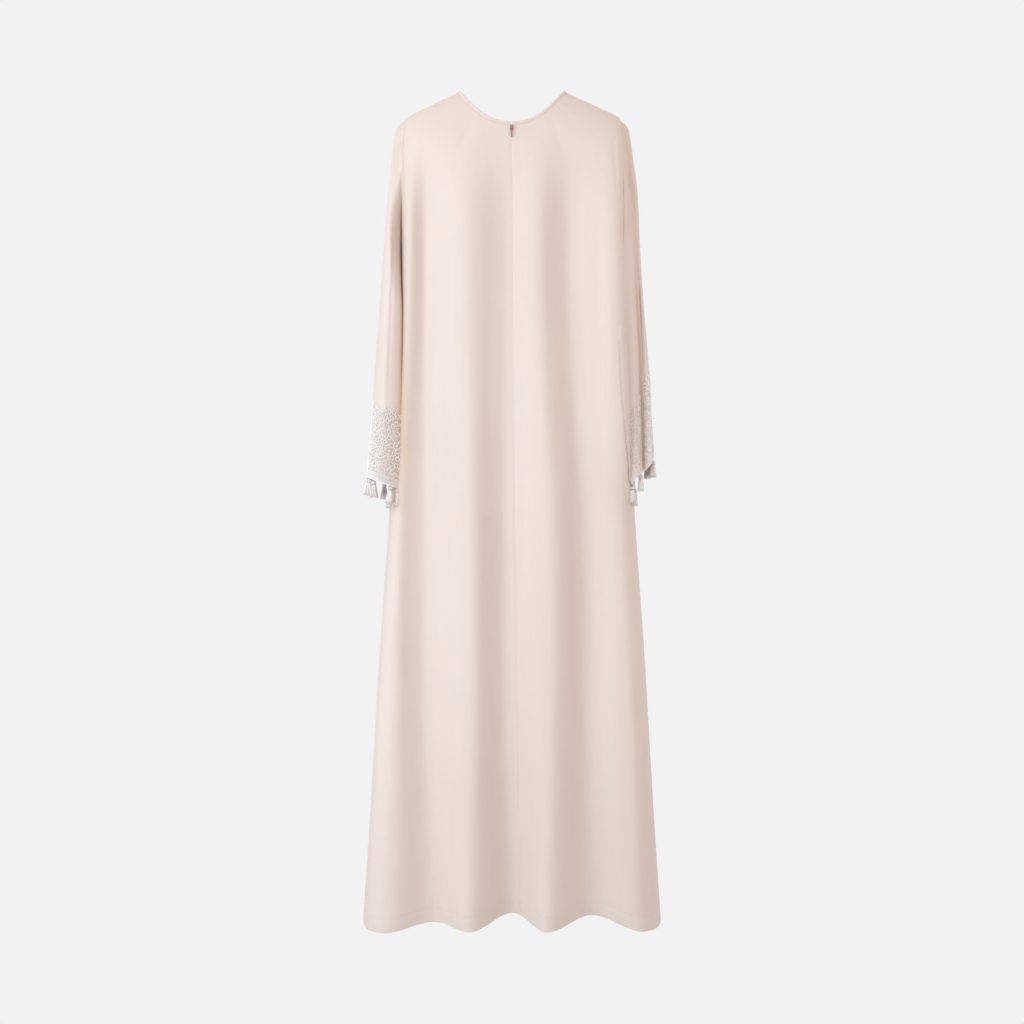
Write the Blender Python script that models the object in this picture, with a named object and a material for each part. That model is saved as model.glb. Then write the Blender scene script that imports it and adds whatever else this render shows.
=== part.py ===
"""Full-length kaftan, hollow, hanging in the shape of its wearer.

The origin is midway between the two neck points, where the shoulders carry the
garment. +Z is up, the back faces -Y and the wearer's right is +X. A drop is a
distance below the neck points. All sizes are in metres.
"""

import math

import bmesh
import bpy
from mathutils import Vector

# Cloth and seams
WALL = 0.002
SEAM = 0.0003
SLEEVE_CLEARANCE = 0.0035
CUFF_CLEARANCE = 0.0085
CLEARANCE_GROWS = 0.012
SOFT_PUSH = 0.006
SHARPEST = 0.60

# Heights, as drops
UNDERARM = 0.285
SHOULDER_POINT = 0.0475
HEM = 1.459

# Neck and shoulders
NECK_HALF = 0.1000
SHOULDER_SLOPE = 0.481
RIDGE_START = 0.0925
NECK_ROUNDING = 0.20
SHOULDER_ROUNDING = 0.07
ROUNDING_POWER = 2.4
BACK_NECK_DROP = 0.0755
FRONT_NECK_DROP = 0.112
NECK_CURVE = 2.25
ARMHOLE_HOLLOW = 0.004

# Grid of the body panels
NECK_COLUMNS = 9
SIDE_COLUMNS = 11
HEM_ROWS = (0.0, 0.06, 0.15, 0.26, 0.38, 0.50, 0.61, 0.71, 0.80, 0.88, 0.945, 1.0)
TOP_ROWS = 7
NECK_FRACTION = 0.49

# Body outline: width and depth from the centre line, and how square the section is
BODY = [
    # drop, half_width, back_depth, front_depth, squareness
    (0.00, 0.1910, 0.074, 0.078, 3.0),
    (0.05, 0.1920, 0.083, 0.088, 3.2),
    (0.10, 0.1955, 0.092, 0.098, 3.4),
    (0.20, 0.1975, 0.104, 0.112, 3.8),
    (0.30, 0.1975, 0.111, 0.120, 4.0),
    (0.50, 0.2040, 0.115, 0.121, 4.0),
    (0.765, 0.2175, 0.122, 0.124, 4.6),
    (1.00, 0.2330, 0.130, 0.131, 5.4),
    (1.25, 0.2477, 0.139, 0.139, 5.0),
    (1.46, 0.2613, 0.147, 0.147, 4.8),
]
BODY_NAMES = ("drop", "half_width", "back_depth", "front_depth", "squareness")

# Centre-back seam: its sideways place by drop
CENTRE_BACK = [
    # drop, across
    (0.00, -0.0010),
    (0.60, 0.0030),
    (1.20, 0.0100),
    (1.46, 0.0130),
]
CENTRE_BACK_NAMES = ("drop", "across")

# Folds: where each ridge or valley runs, how far it stands out, and how far it lifts the hem.
# Chest, hip and hem are the drops of FOLD_DROPS.
FOLD_DROPS = (0.30, 0.91, 1.46)
BACK_FOLDS = [
    # chest_x, hip_x, hem_x, chest_rise, hip_rise, hem_rise, hem_lift
    (-0.1840, -0.2110, -0.2240, 0.019, 0.016, 0.020, -0.008),
    (-0.1500, -0.1520, -0.1330, -0.015, -0.020, -0.021, 0.006),
    (-0.0773, -0.0653, -0.0720, 0.010, 0.014, 0.022, -0.001),
    (-0.0086, -0.0129, 0.0017, -0.010, -0.015, -0.028, 0.020),
    (0.0460, 0.0687, 0.0590, 0.010, 0.014, 0.024, -0.001),
    (0.0990, 0.1270, 0.1370, -0.012, -0.020, -0.027, 0.016),
    (0.1840, 0.2060, 0.2290, 0.017, 0.014, 0.020, -0.006),
]
FRONT_FOLDS = [
    (-0.1880, -0.2060, -0.2230, 0.002, 0.006, 0.010, -0.003),
    (-0.1330, -0.1390, -0.1480, -0.008, -0.013, -0.020, 0.012),
    (-0.0700, -0.0790, -0.0850, 0.009, 0.013, 0.022, -0.001),
    (-0.0180, -0.0200, -0.0160, -0.007, -0.013, -0.024, 0.015),
    (0.0420, 0.0460, 0.0560, 0.008, 0.014, 0.024, -0.001),
    (0.1060, 0.1130, 0.1220, -0.010, -0.014, -0.020, 0.012),
    (0.1860, 0.2040, 0.2260, 0.002, 0.006, 0.010, -0.003),
]
FOLD_START = 0.07
FOLD_FULL = 0.26
FOLD_REACH = 0.006
SIDE_FADE = 0.05

# Sleeves: outer and inner faces across, back and front edges in depth
SLEEVE_NAMES = ("drop", "outer", "inner", "back", "front")
SLEEVE_LEFT = [
    (0.0475, 0.1860, 0.181, -0.030, 0.040),
    (0.0590, 0.1985, 0.183, -0.045, 0.048),
    (0.0840, 0.2080, 0.186, -0.064, 0.060),
    (0.1200, 0.2135, 0.187, -0.082, 0.068),
    (0.1920, 0.2212, 0.187, -0.094, 0.074),
    (0.2630, 0.2265, 0.187, -0.098, 0.076),
    (0.3700, 0.2342, 0.188, -0.102, 0.078),
    (0.5140, 0.2450, 0.189, -0.107, 0.080),
    (0.6000, 0.2505, 0.189, -0.110, 0.080),
    (0.7200, 0.2610, 0.188, -0.114, 0.082),
]
SLEEVE_RIGHT = [
    (0.0475, 0.1860, 0.181, -0.030, 0.040),
    (0.0590, 0.1960, 0.183, -0.046, 0.048),
    (0.0840, 0.2064, 0.185, -0.064, 0.060),
    (0.1200, 0.2148, 0.185, -0.078, 0.068),
    (0.1920, 0.2214, 0.184, -0.090, 0.074),
    (0.2630, 0.2240, 0.184, -0.097, 0.076),
    (0.3700, 0.2292, 0.185, -0.102, 0.078),
    (0.5140, 0.2408, 0.189, -0.106, 0.080),
    (0.6000, 0.2446, 0.193, -0.108, 0.080),
    (0.7200, 0.2550, 0.198, -0.110, 0.082),
]

# Fold along the back edge of the right sleeve: a groove between an inner and an outer lobe
GROOVE_NAMES = ("drop", "across", "half_width", "bottom", "outer_lobe")
GROOVE = [
    (0.0475, 0.1900, 0.0012, -0.032, -0.022),
    (0.0840, 0.2000, 0.0016, -0.058, -0.050),
    (0.1200, 0.2040, 0.0022, -0.068, -0.064),
    (0.1920, 0.2089, 0.0026, -0.074, -0.075),
    (0.2630, 0.2134, 0.0027, -0.073, -0.083),
    (0.3700, 0.2190, 0.0028, -0.073, -0.090),
    (0.5140, 0.2245, 0.0030, -0.074, -0.096),
    (0.7200, 0.2290, 0.0030, -0.075, -0.102),
]

SLEEVE_COLUMNS = 32
SLEEVE_ROWS = 13
# Drops of the cuff's edge at its outer and its inner side
CUFF_LEFT = (0.684, 0.708)
CUFF_RIGHT = (0.653, 0.704)

# Neck binding
BINDING_HEIGHT = 0.0062
BINDING_THICK = 0.0016
BINDING_LEAN = 0.25
BINDING_TURN = 50.0
NOTCH = 0.0060

# Zip slider and pull
SLIDER_DROP = 0.0815
SLIDER_WIDE = 0.0052
SLIDER_HIGH = 0.0090
SLIDER_THICK = 0.0016
BRIDGE_WIDE = 0.0018
BRIDGE_THICK = 0.0009
BRIDGE_HIGH = 0.0064
PULL_THICK = 0.0010
PULL_PLAY = 0.0003
PULL_LONG = 0.0190
PULL_RING_WIDE = 0.0048
PULL_RING_LONG = 0.0052
PULL_TAB_WIDE = 0.0022
PULL_END_WIDE = 0.0030

# Tassels
TASSEL_SPACING = 0.0190
TASSEL_APART = 0.0122
ROOT_LONG = 0.0062
ROOT_ROOM = 0.0024
STRIP_HIGH = 0.0035
STRIP_GAP = 0.0014
HEAD_LONG = 0.0070
HEAD_WIDE = 0.0062
STRAND_LONG = 0.0240
STRAND_TIP = 0.42
STRAND_SPREAD = 1.60


def clear_scene():
    for thing in list(bpy.data.objects):
        bpy.data.objects.remove(thing, do_unlink=True)


def smooth(value):
    value = min(1.0, max(0.0, value))
    return value * value * (3.0 - 2.0 * value)


def mix(low, high, share):
    return low + (high - low) * share


def read_table(table, names, drop):
    """Values of a table at one drop, on a smooth curve through its rows."""
    last = len(table) - 1
    drop = min(max(drop, table[0][0]), table[last][0])
    row = 0
    while row < last - 1 and drop > table[row + 1][0]:
        row += 1
    low = table[row]
    high = table[row + 1]
    before = table[max(0, row - 1)]
    after = table[min(last, row + 2)]
    span = high[0] - low[0]
    share = (drop - low[0]) / span
    values = {}
    for column, name in enumerate(names):
        start = (high[column] - before[column]) / (high[0] - before[0]) * span
        end = (after[column] - low[column]) / (after[0] - low[0]) * span
        cube = share ** 3
        square = share ** 2
        values[name] = (
            (2 * cube - 3 * square + 1) * low[column]
            + (cube - 2 * square + share) * start
            + (3 * square - 2 * cube) * high[column]
            + (cube - square) * end
        )
    return values


def body_at(drop):
    return read_table(BODY, BODY_NAMES, drop)


def fold_values(folds, column, drop):
    """One value of every fold at a drop: columns 0 for its place and 3 for its rise."""
    chest, hip, hem = FOLD_DROPS
    values = []
    for fold in folds:
        if drop < hip:
            share = smooth((drop - chest) / (hip - chest))
            values.append(mix(fold[column], fold[column + 1], share))
        else:
            share = ((drop - hip) / (hem - hip)) ** 2
            values.append(mix(fold[column + 1], fold[column + 2], min(1.0, share)))
    return values


def between_folds(places, values, across):
    """Soft wave through the folds, level at each ridge and valley."""
    if across <= places[0] or across >= places[-1]:
        edge = 0 if across <= places[0] else -1
        return values[edge]
    for index in range(len(places) - 1):
        if across <= places[index + 1]:
            share = (across - places[index]) / (places[index + 1] - places[index])
            return mix(values[index], values[index + 1], smooth(share))
    return values[-1]


def fold_rise(folds, across, drop):
    places = fold_values(folds, 0, drop)
    rises = fold_values(folds, 3, drop)
    strength = smooth((drop - FOLD_START) / (FOLD_FULL - FOLD_START))
    return strength * between_folds(places, rises, across)


def hem_lift(folds, across):
    places = [fold[2] for fold in folds]
    lifts = [fold[6] for fold in folds]
    return between_folds(places, lifts, across)


def shoulder_drop(across):
    """Drop of the shoulder line."""
    return SHOULDER_SLOPE * (abs(across) - RIDGE_START)


def neck_drop(across, deepest):
    """Drop of the neckline inside the neck's width."""
    start = shoulder_drop(NECK_HALF)
    share = min(1.0, abs(across) / NECK_HALF)
    return start + (deepest - start) * (1.0 - share ** NECK_CURVE)


def body_edge(drop):
    """Half width of a panel: to the side seam, or to the armhole above the underarm."""
    width = body_at(drop)["half_width"]
    if drop >= UNDERARM:
        return width
    share = min(1.0, (UNDERARM - drop) / (UNDERARM - SHOULDER_POINT))
    return width - ARMHOLE_HOLLOW * math.sqrt(math.sin(math.pi * share))


def spread(share):
    """Fraction of the half width at a column: even at the neck, by angle towards the side."""
    columns = NECK_COLUMNS + SIDE_COLUMNS
    place = share * columns
    if place <= NECK_COLUMNS:
        return NECK_FRACTION * place / NECK_COLUMNS
    start = math.asin(NECK_FRACTION)
    angle = mix(start, math.pi / 2, (place - NECK_COLUMNS) / SIDE_COLUMNS)
    return math.sin(angle)


def depth_at(across, drop, depth_name, folds):
    """How far the body stands out from the centre plane at a place."""
    sizes = body_at(drop)
    power = sizes["squareness"]
    ratio = min(1.0, abs(across) / sizes["half_width"])
    section = (1.0 - ratio ** power) ** (1.0 / power)
    rounding = mix(NECK_ROUNDING, SHOULDER_ROUNDING, ratio)
    below = min(1.0, max(0.0, (drop - shoulder_drop(across)) / rounding))
    shoulder = (1.0 - (1.0 - below) ** ROUNDING_POWER) ** (1.0 / ROUNDING_POWER)
    fade = smooth((1.0 - ratio) / SIDE_FADE)
    rise = fold_rise(folds, across, drop) * fade
    return (sizes[depth_name] + rise) * section * shoulder


class BodyHalf:
    """The back or the front of the body as a surface of two numbers.

    along runs from -1 at the left side to 1 at the right side, up runs from 0 at the hem
    through 1 at the underarm to 2 at the neck or the shoulder.
    """

    def __init__(self, facing, depth_name, folds, neck, has_seam):
        self.facing = facing
        self.depth_name = depth_name
        self.folds = folds
        self.neck = neck
        self.has_seam = has_seam

    def centre(self, drop):
        if not self.has_seam:
            return 0.0
        return read_table(CENTRE_BACK, CENTRE_BACK_NAMES, drop)["across"]

    def across(self, along, drop):
        side = 1.0 if along >= 0 else -1.0
        fraction = spread(abs(along))
        return mix(self.centre(drop), side * body_edge(drop), fraction)

    def top(self, along):
        """Drop of the upper end of a column."""
        fraction = spread(abs(along))
        if fraction >= NECK_FRACTION - 1e-6:
            share = (fraction - NECK_FRACTION) / (1.0 - NECK_FRACTION)
            return mix(shoulder_drop(NECK_HALF), SHOULDER_POINT, share)
        return neck_drop(fraction / NECK_FRACTION * NECK_HALF, self.neck)

    def point(self, along, up):
        if up <= 1.0:
            bottom = HEM - hem_lift(self.folds, self.across(along, HEM)) * smooth(1.0 - up / 0.3)
            drop = mix(bottom, UNDERARM, up)
        else:
            drop = mix(UNDERARM, self.top(along), math.sin((up - 1.0) * math.pi / 2))
        if up > 1.0:
            across = self.across_top(along, drop, up)
        else:
            across = self.across(along, drop)
        depth = depth_at(across, drop, self.depth_name, self.folds) + SEAM / 2
        return Vector((across, self.facing * depth, -drop))

    def across_top(self, along, drop, up):
        """Above the underarm the neck column moves to the neck point."""
        side = 1.0 if along >= 0 else -1.0
        fraction = spread(abs(along))
        edge = body_edge(drop)
        neck = mix(edge * NECK_FRACTION, NECK_HALF, smooth(up - 1.0))
        if fraction <= NECK_FRACTION:
            across = fraction / NECK_FRACTION * neck
        else:
            across = mix(neck, edge, (fraction - NECK_FRACTION) / (1.0 - NECK_FRACTION))
        return side * across + self.centre(drop) * (1.0 - min(1.0, across / neck))

    def normal(self, along, up):
        """Direction out of the body."""
        step = 0.002
        left = self.point(max(-1.0, along - step), up)
        right = self.point(min(1.0, along + step), up)
        low = self.point(along, max(0.0, up - step))
        high = self.point(along, min(2.0, up + step))
        direction = (right - left).cross(high - low)
        if self.facing > 0:
            direction.negate()
        return direction.normalized()

    def on_seam(self, along, up):
        """Whether a place lies on the side seam or the shoulder seam."""
        if up <= 1.0:
            return abs(along) >= 1.0
        return up >= 2.0 and spread(abs(along)) >= NECK_FRACTION - 1e-6


def make_material(name, colour, roughness, metallic):
    material = bpy.data.materials.new(name)
    material.use_nodes = True
    shader = material.node_tree.nodes["Principled BSDF"]
    shader.inputs["Base Color"].default_value = (*colour, 1.0)
    shader.inputs["Roughness"].default_value = roughness
    shader.inputs["Metallic"].default_value = metallic
    return material


def add_object(name, mesh, material):
    thing = bpy.data.objects.new(name, mesh)
    bpy.context.scene.collection.objects.link(thing)
    mesh.materials.append(material)
    mesh.shade_smooth()
    mesh.set_sharp_from_angle(angle=math.radians(40))
    return thing


def split_quad(corners, points):
    """Two triangles of a quad, parted along its shorter diagonal."""
    one, two, three, four = corners
    if (points[one] - points[three]).length < (points[two] - points[four]).length:
        return (one, two, three), (one, three, four)
    return (one, two, four), (two, three, four)


def add_wall(name, outer, inner, closed, flip, material):
    """Closed wall between two grids of points, rows of equal length.

    closed joins each row's ends into a ring. flip turns the faces of a wall whose columns
    run the other way.
    """
    rows = len(outer)
    columns = len(outer[0])
    points = [point for row in outer for point in row]
    points += [point for row in inner for point in row]
    shift = rows * columns
    faces = []
    steps = columns if closed else columns - 1
    for row in range(rows - 1):
        for column in range(steps):
            after = (column + 1) % columns
            corners = (
                row * columns + column,
                row * columns + after,
                (row + 1) * columns + after,
                (row + 1) * columns + column,
            )
            for triangle in split_quad(corners, points):
                faces.append(triangle)
                faces.append(tuple(shift + corner for corner in reversed(triangle)))
    for column in range(steps):
        after = (column + 1) % columns
        top = (rows - 1) * columns
        faces.append((after, column, shift + column, shift + after))
        faces.append((top + column, top + after, shift + top + after, shift + top + column))
    if not closed:
        for row in range(rows - 1):
            low = row * columns
            high = low + columns
            end = columns - 1
            faces.append((low, high, shift + high, shift + low))
            faces.append((high + end, low + end, shift + low + end, shift + high + end))
    if flip:
        faces = [tuple(reversed(face)) for face in faces]
    mesh = bpy.data.meshes.new(name)
    mesh.from_pydata([tuple(point) for point in points], [], faces)
    mesh.validate()
    return add_object(name, mesh, material)


def quad_normal(low, low_after, high, high_after):
    return (high_after - low).cross(high - low_after).normalized()


def wall_steps(grid, closed):
    """Step from each point of a grid through an even wall, to the left of its rows."""
    rows = len(grid)
    columns = len(grid[0])
    steps = []
    for row in range(rows):
        line = []
        for column in range(columns):
            normals = []
            for low in (row - 1, row):
                for left in (column - 1, column):
                    outside = left < 0 or left + 1 >= columns
                    if low < 0 or low + 1 >= rows or (outside and not closed):
                        continue
                    right = (left + 1) % columns
                    here = grid[low]
                    below = grid[low + 1]
                    normals.append(quad_normal(here[left], here[right], below[left], below[right]))
            direction = sum(normals, Vector()).normalized()
            lean = min(direction.dot(normal) for normal in normals)
            line.append(direction * WALL / max(SHARPEST, lean))
        steps.append(line)
    return steps


def body_rows():
    return list(HEM_ROWS) + [1.0 + (row + 1) / TOP_ROWS for row in range(TOP_ROWS)]


def body_columns(start, end):
    """Columns of a panel, counted out from the centre line."""
    columns = NECK_COLUMNS + SIDE_COLUMNS
    return [index / columns for index in range(start * columns, end * columns + 1)]


def make_panel(name, half, start, end, seam_side, material):
    """Wall of a body panel. seam_side moves its first or last column off the centre seam."""
    ups = body_rows()
    columns = body_columns(start, end)
    outer = []
    for up in ups:
        row = []
        for along in columns:
            point = half.point(along, up)
            if seam_side and along == 0:
                point = point + Vector((seam_side * SEAM / 2, 0, 0))
            row.append(point)
        outer.append(row)
    steps = wall_steps(outer, False)
    inner = []
    for up, points, row in zip(ups, outer, steps):
        line = []
        for along, point, step in zip(columns, points, row):
            if half.on_seam(along, up):
                step = Vector((step.x, 0, step.z)).normalized() * WALL
            line.append(point + half.facing * step)
        inner.append(line)
    return add_wall(name, outer, inner, False, half.facing > 0, material)


def make_body(cloth):
    back = BodyHalf(-1.0, "back_depth", BACK_FOLDS, BACK_NECK_DROP, True)
    front = BodyHalf(1.0, "front_depth", FRONT_FOLDS, FRONT_NECK_DROP, False)
    make_panel("back_left", back, -1, 0, -1.0, cloth["back_left"])
    make_panel("back_right", back, 0, 1, 1.0, cloth["back_right"])
    make_panel("front", front, -1, 1, 0.0, cloth["front"])
    return back, front


def body_side(drop, depth):
    """Half width of the bare body section at a depth in front of or behind the centre plane."""
    sizes = body_at(drop)
    reach = sizes["back_depth"] if depth < 0 else sizes["front_depth"]
    power = sizes["squareness"]
    ratio = min(1.0, abs(depth) / (reach + FOLD_REACH))
    return sizes["half_width"] * (1.0 - ratio ** power) ** (1.0 / power)


def sleeve_outline(table, drop, groove):
    """Points of a sleeve's section at a drop, as angle, distance from the centre and depth."""
    size = read_table(table, SLEEVE_NAMES, drop)
    outer = size["outer"]
    inner = size["inner"]
    back = size["back"]
    front = size["front"]
    middle = (outer + inner) / 2
    if groove is None:
        lobe = [
            (45.0, mix(middle, outer, 0.80), back * 0.66),
            (67.5, mix(middle, outer, 0.36), back * 0.93),
            (90.0, middle, back),
            (112.5, mix(middle, inner, 0.50), back * 0.96),
        ]
    else:
        cut = read_table(groove, GROOVE_NAMES, drop)
        place = cut["across"]
        half = cut["half_width"]
        tip = cut["outer_lobe"]
        lobe = [
            (22.5, mix(place, outer, 0.96), tip * 0.66),
            (33.75, mix(place + half, outer, 0.80), tip * 0.93),
            (45.0, mix(place + half, outer, 0.45), tip),
            (56.25, place + half, tip * 0.93),
            (67.5, place + half * 0.75, cut["bottom"]),
            (78.75, place - half * 0.75, cut["bottom"]),
            (90.0, place - half, back * 0.92),
            (101.25, mix(place - half, inner, 0.30), back),
            (112.5, mix(place - half, inner, 0.65), back * 0.985),
        ]
    return [
        (0.0, outer, -0.002 if groove is None else 0.010),
        *lobe,
        (123.75, inner + 0.001, back * 0.86),
        (146.25, inner, back * 0.58),
        (180.0, inner, back * 0.05),
        (213.75, inner, front * 0.62),
        (247.5, mix(middle, inner, 0.70), front * 0.93),
        (270.0, mix(middle, outer, 0.16), front),
        (292.5, mix(middle, outer, 0.72), front * 0.94),
        (326.25, mix(middle, outer, 0.94), front * 0.60),
    ]


def round_curve(outline, angle):
    """Smooth closed curve through an outline's points, read by angle."""
    count = len(outline)
    row = 0
    while row < count - 1 and angle >= outline[row + 1][0]:
        row += 1
    places = []
    for step in (-1, 0, 1, 2):
        turn, index = divmod(row + step, count)
        entry = outline[index]
        places.append((entry[0] + 360.0 * turn, entry[1], entry[2]))
    before, low, high, after = places
    span = high[0] - low[0]
    share = (angle - low[0]) / span
    cube = share ** 3
    square = share ** 2
    values = []
    for column in (1, 2):
        start = (high[column] - before[column]) / (high[0] - before[0]) * span
        end = (after[column] - low[column]) / (after[0] - low[0]) * span
        values.append(
            (2 * cube - 3 * square + 1) * low[column]
            + (cube - 2 * square + share) * start
            + (3 * square - 2 * cube) * high[column]
            + (cube - square) * end
        )
    return values


class Sleeve:
    """A sleeve as a surface of an angle round it and a share down it.

    Angle 0 is its outer face, 90 its back edge, 180 the face against the body and 270 its
    front edge. side is 1 for the wearer's right.
    """

    def __init__(self, side, table, groove, cuff, halves):
        self.side = side
        self.table = table
        self.groove = groove
        self.cuff = cuff
        ups = [1.0 + row / TOP_ROWS for row in range(TOP_ROWS + 1)]
        self.back_edge = [halves[0].point(side, up) for up in ups]
        self.front_edge = [halves[1].point(side, up) for up in ups]

    def armhole(self, angle):
        """Point of the armhole seam, on the straight steps between the panel's edge points."""
        turn = math.radians(angle)
        middle = (UNDERARM + SHOULDER_POINT) / 2
        reach = (UNDERARM - SHOULDER_POINT) / 2
        drop = middle - reach * math.cos(turn)
        edge = self.back_edge if angle < 180 else self.front_edge
        row = 0
        while row < len(edge) - 2 and drop < -edge[row + 1].z:
            row += 1
        low = edge[row]
        high = edge[row + 1]
        share = min(1.0, max(0.0, (-low.z - drop) / (high.z - low.z)))
        seam = low.lerp(high, share)
        depth = 0.0 if angle in (0.0, 180.0) else seam.y
        return abs(seam.x) + SEAM, depth, -seam.z

    def cuff_drop(self, across):
        size = read_table(self.table, SLEEVE_NAMES, self.cuff[1])
        share = (size["outer"] - across) / (size["outer"] - size["inner"])
        return mix(self.cuff[0], self.cuff[1], min(1.0, max(0.0, share)))

    def clear(self, across, depth, drop, below_seam):
        """Push a point out of the body, by more the further it is below the armhole."""
        far = smooth((drop - UNDERARM) / (CUFF_LEFT[1] - UNDERARM))
        full = mix(SLEEVE_CLEARANCE, CUFF_CLEARANCE, far)
        room = mix(SEAM, full, min(1.0, below_seam / CLEARANCE_GROWS))
        limit = body_side(drop, depth) + room
        soft = SOFT_PUSH * min(1.0, below_seam / CLEARANCE_GROWS)
        return (across + limit + math.hypot(across - limit, soft)) / 2

    def point(self, angle, down):
        seam_across, seam_depth, seam_drop = self.armhole(angle)
        cuff = round_curve(sleeve_outline(self.table, self.cuff[1], self.groove), angle)
        end = self.cuff_drop(cuff[0])
        drop = mix(seam_drop, end, down)
        section = round_curve(sleeve_outline(self.table, drop, self.groove), angle)
        below = drop - seam_drop
        share = smooth(below / 0.13) if 45 < angle < 315 else smooth(below / 0.03)
        across = mix(seam_across, section[0], share)
        depth = mix(seam_depth, section[1], smooth(below / 0.13))
        if below > 0:
            across = self.clear(across, depth, drop, below)
        return Vector((self.side * across, depth, -drop))

    def seam_step(self, angle):
        """Step through the wall at the armhole seam, towards the middle of the armhole."""
        turn = math.radians(angle)
        across = max(0.0, -math.cos(turn))
        step = Vector((self.side * across, math.sin(turn), -max(0.0, math.cos(turn))))
        return WALL * step.normalized()


def sleeve_downs():
    """Rows down a sleeve, closer together near the shoulder."""
    return [(row / SLEEVE_ROWS) ** 1.45 for row in range(SLEEVE_ROWS + 1)]


def sleeve_grids(sleeve):
    """Outer and inner grids of a sleeve's wall. Its cuff edge is level through the wall."""
    angles = [360.0 * index / SLEEVE_COLUMNS for index in range(SLEEVE_COLUMNS)]
    outer = [[sleeve.point(angle, down) for angle in angles] for down in sleeve_downs()]
    steps = wall_steps(outer, True)
    for step in steps[-1]:
        step.z = 0.0
        step.length = WALL
    inner = []
    for row, line in zip(outer, steps):
        inner.append([point - sleeve.side * step for point, step in zip(row, line)])
    inner[0] = [point + sleeve.seam_step(angle) for point, angle in zip(outer[0], angles)]
    return outer, inner


def make_sleeve(name, sleeve, material):
    outer, inner = sleeve_grids(sleeve)
    add_wall(name, outer, inner, True, sleeve.side < 0, material)
    return outer[-1], inner[-1]


class NeckEdge:
    """The neckline of both halves, walked from centre back round the front and back again."""

    def __init__(self, back, front):
        self.back = back
        self.front = front

    def stations(self):
        """Half and column of each station, from the left of centre back to its right."""
        columns = NECK_COLUMNS + SIDE_COLUMNS
        shares = [index / columns for index in range(NECK_COLUMNS + 1)]
        walk = [(self.back, -share) for share in shares]
        walk += [(self.front, -share) for share in reversed(shares[:-1])]
        walk += [(self.front, share) for share in shares[1:]]
        walk += [(self.back, share) for share in reversed(shares[:-1])]
        return walk

    def way_up(self, half, edge):
        """The lie of the cloth at the neckline: upright at the centre, sloping at the shoulder."""
        share = min(1.0, abs(edge.x) / NECK_HALF)
        turn = math.radians(BINDING_TURN) * share ** 1.3
        side = 1.0 if edge.x >= 0 else -1.0
        lean = -half.facing * BINDING_LEAN * (1.0 - share)
        return Vector((-side * math.sin(turn), lean, math.cos(turn))).normalized()

    def sections(self):
        """Foot of the binding at each station, its way up and its way out of the cloth."""
        walk = self.stations()
        edges = [half.point(along, 2.0) for half, along in walk]
        last = len(walk) - 1
        sections = []
        for index, (half, _) in enumerate(walk):
            edge = edges[index]
            onward = edges[min(last, index + 1)] - edges[max(0, index - 1)]
            up = self.way_up(half, edge)
            out = up.cross(onward).normalized()
            sections.append((edge + SEAM * up, up, out))
        return sections


def make_binding(back, front, material):
    rows = [[], []]
    inner_rows = [[], []]
    sections = NeckEdge(back, front).sections()
    last = len(sections) - 1
    for index, (foot, up, out) in enumerate(sections):
        low = foot.copy()
        high = foot + BINDING_HEIGHT * up
        if index == 0:
            low.x -= SEAM
            high.x -= NOTCH
        if index == last:
            low.x += SEAM
            high.x += SEAM * 2
        rows[0].append(low)
        rows[1].append(high)
        inner_rows[0].append(low - BINDING_THICK * out)
        inner_rows[1].append(high - BINDING_THICK * out)
    return add_wall("neck_binding", rows, inner_rows, False, True, material)


def add_box(mesh, low, high):
    """Add a box to a mesh being built."""
    size = [high[axis] - low[axis] for axis in range(3)]
    middle = [(high[axis] + low[axis]) / 2 for axis in range(3)]
    made = bmesh.ops.create_cube(mesh, size=1.0)
    bmesh.ops.scale(mesh, vec=size, verts=made["verts"])
    bmesh.ops.translate(mesh, vec=middle, verts=made["verts"])
    return made["verts"]


def box_object(name, boxes, material):
    """Boxes joined into one body. The first is the body the others are united with."""
    things = []
    for index, (low, high) in enumerate(boxes):
        shape = bmesh.new()
        add_box(shape, low, high)
        label = name if index == 0 else name + "_form"
        mesh = bpy.data.meshes.new(label)
        shape.to_mesh(mesh)
        shape.free()
        thing = bpy.data.objects.new(label, mesh)
        bpy.context.scene.collection.objects.link(thing)
        things.append(thing)
    whole = things[0]
    whole.data.materials.append(material)
    for other in things[1:]:
        other.hide_render = True
        other.display_type = "WIRE"
        other.parent = whole
        join = whole.modifiers.new("join", "BOOLEAN")
        join.operation = "UNION"
        join.object = other
    return whole


def slider_place(back):
    """Seat of the zip slider on the cloth: its point, and the angle the cloth leans."""
    up = 1.0
    step = 0.001
    while up < 2.0 and -back.point(0.0, up).z > SLIDER_DROP:
        up += step
    point = back.point(0.0, up)
    normal = back.normal(0.0, up)
    lean = math.atan2(normal.z, -normal.y)
    return point + normal * SEAM, lean


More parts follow.
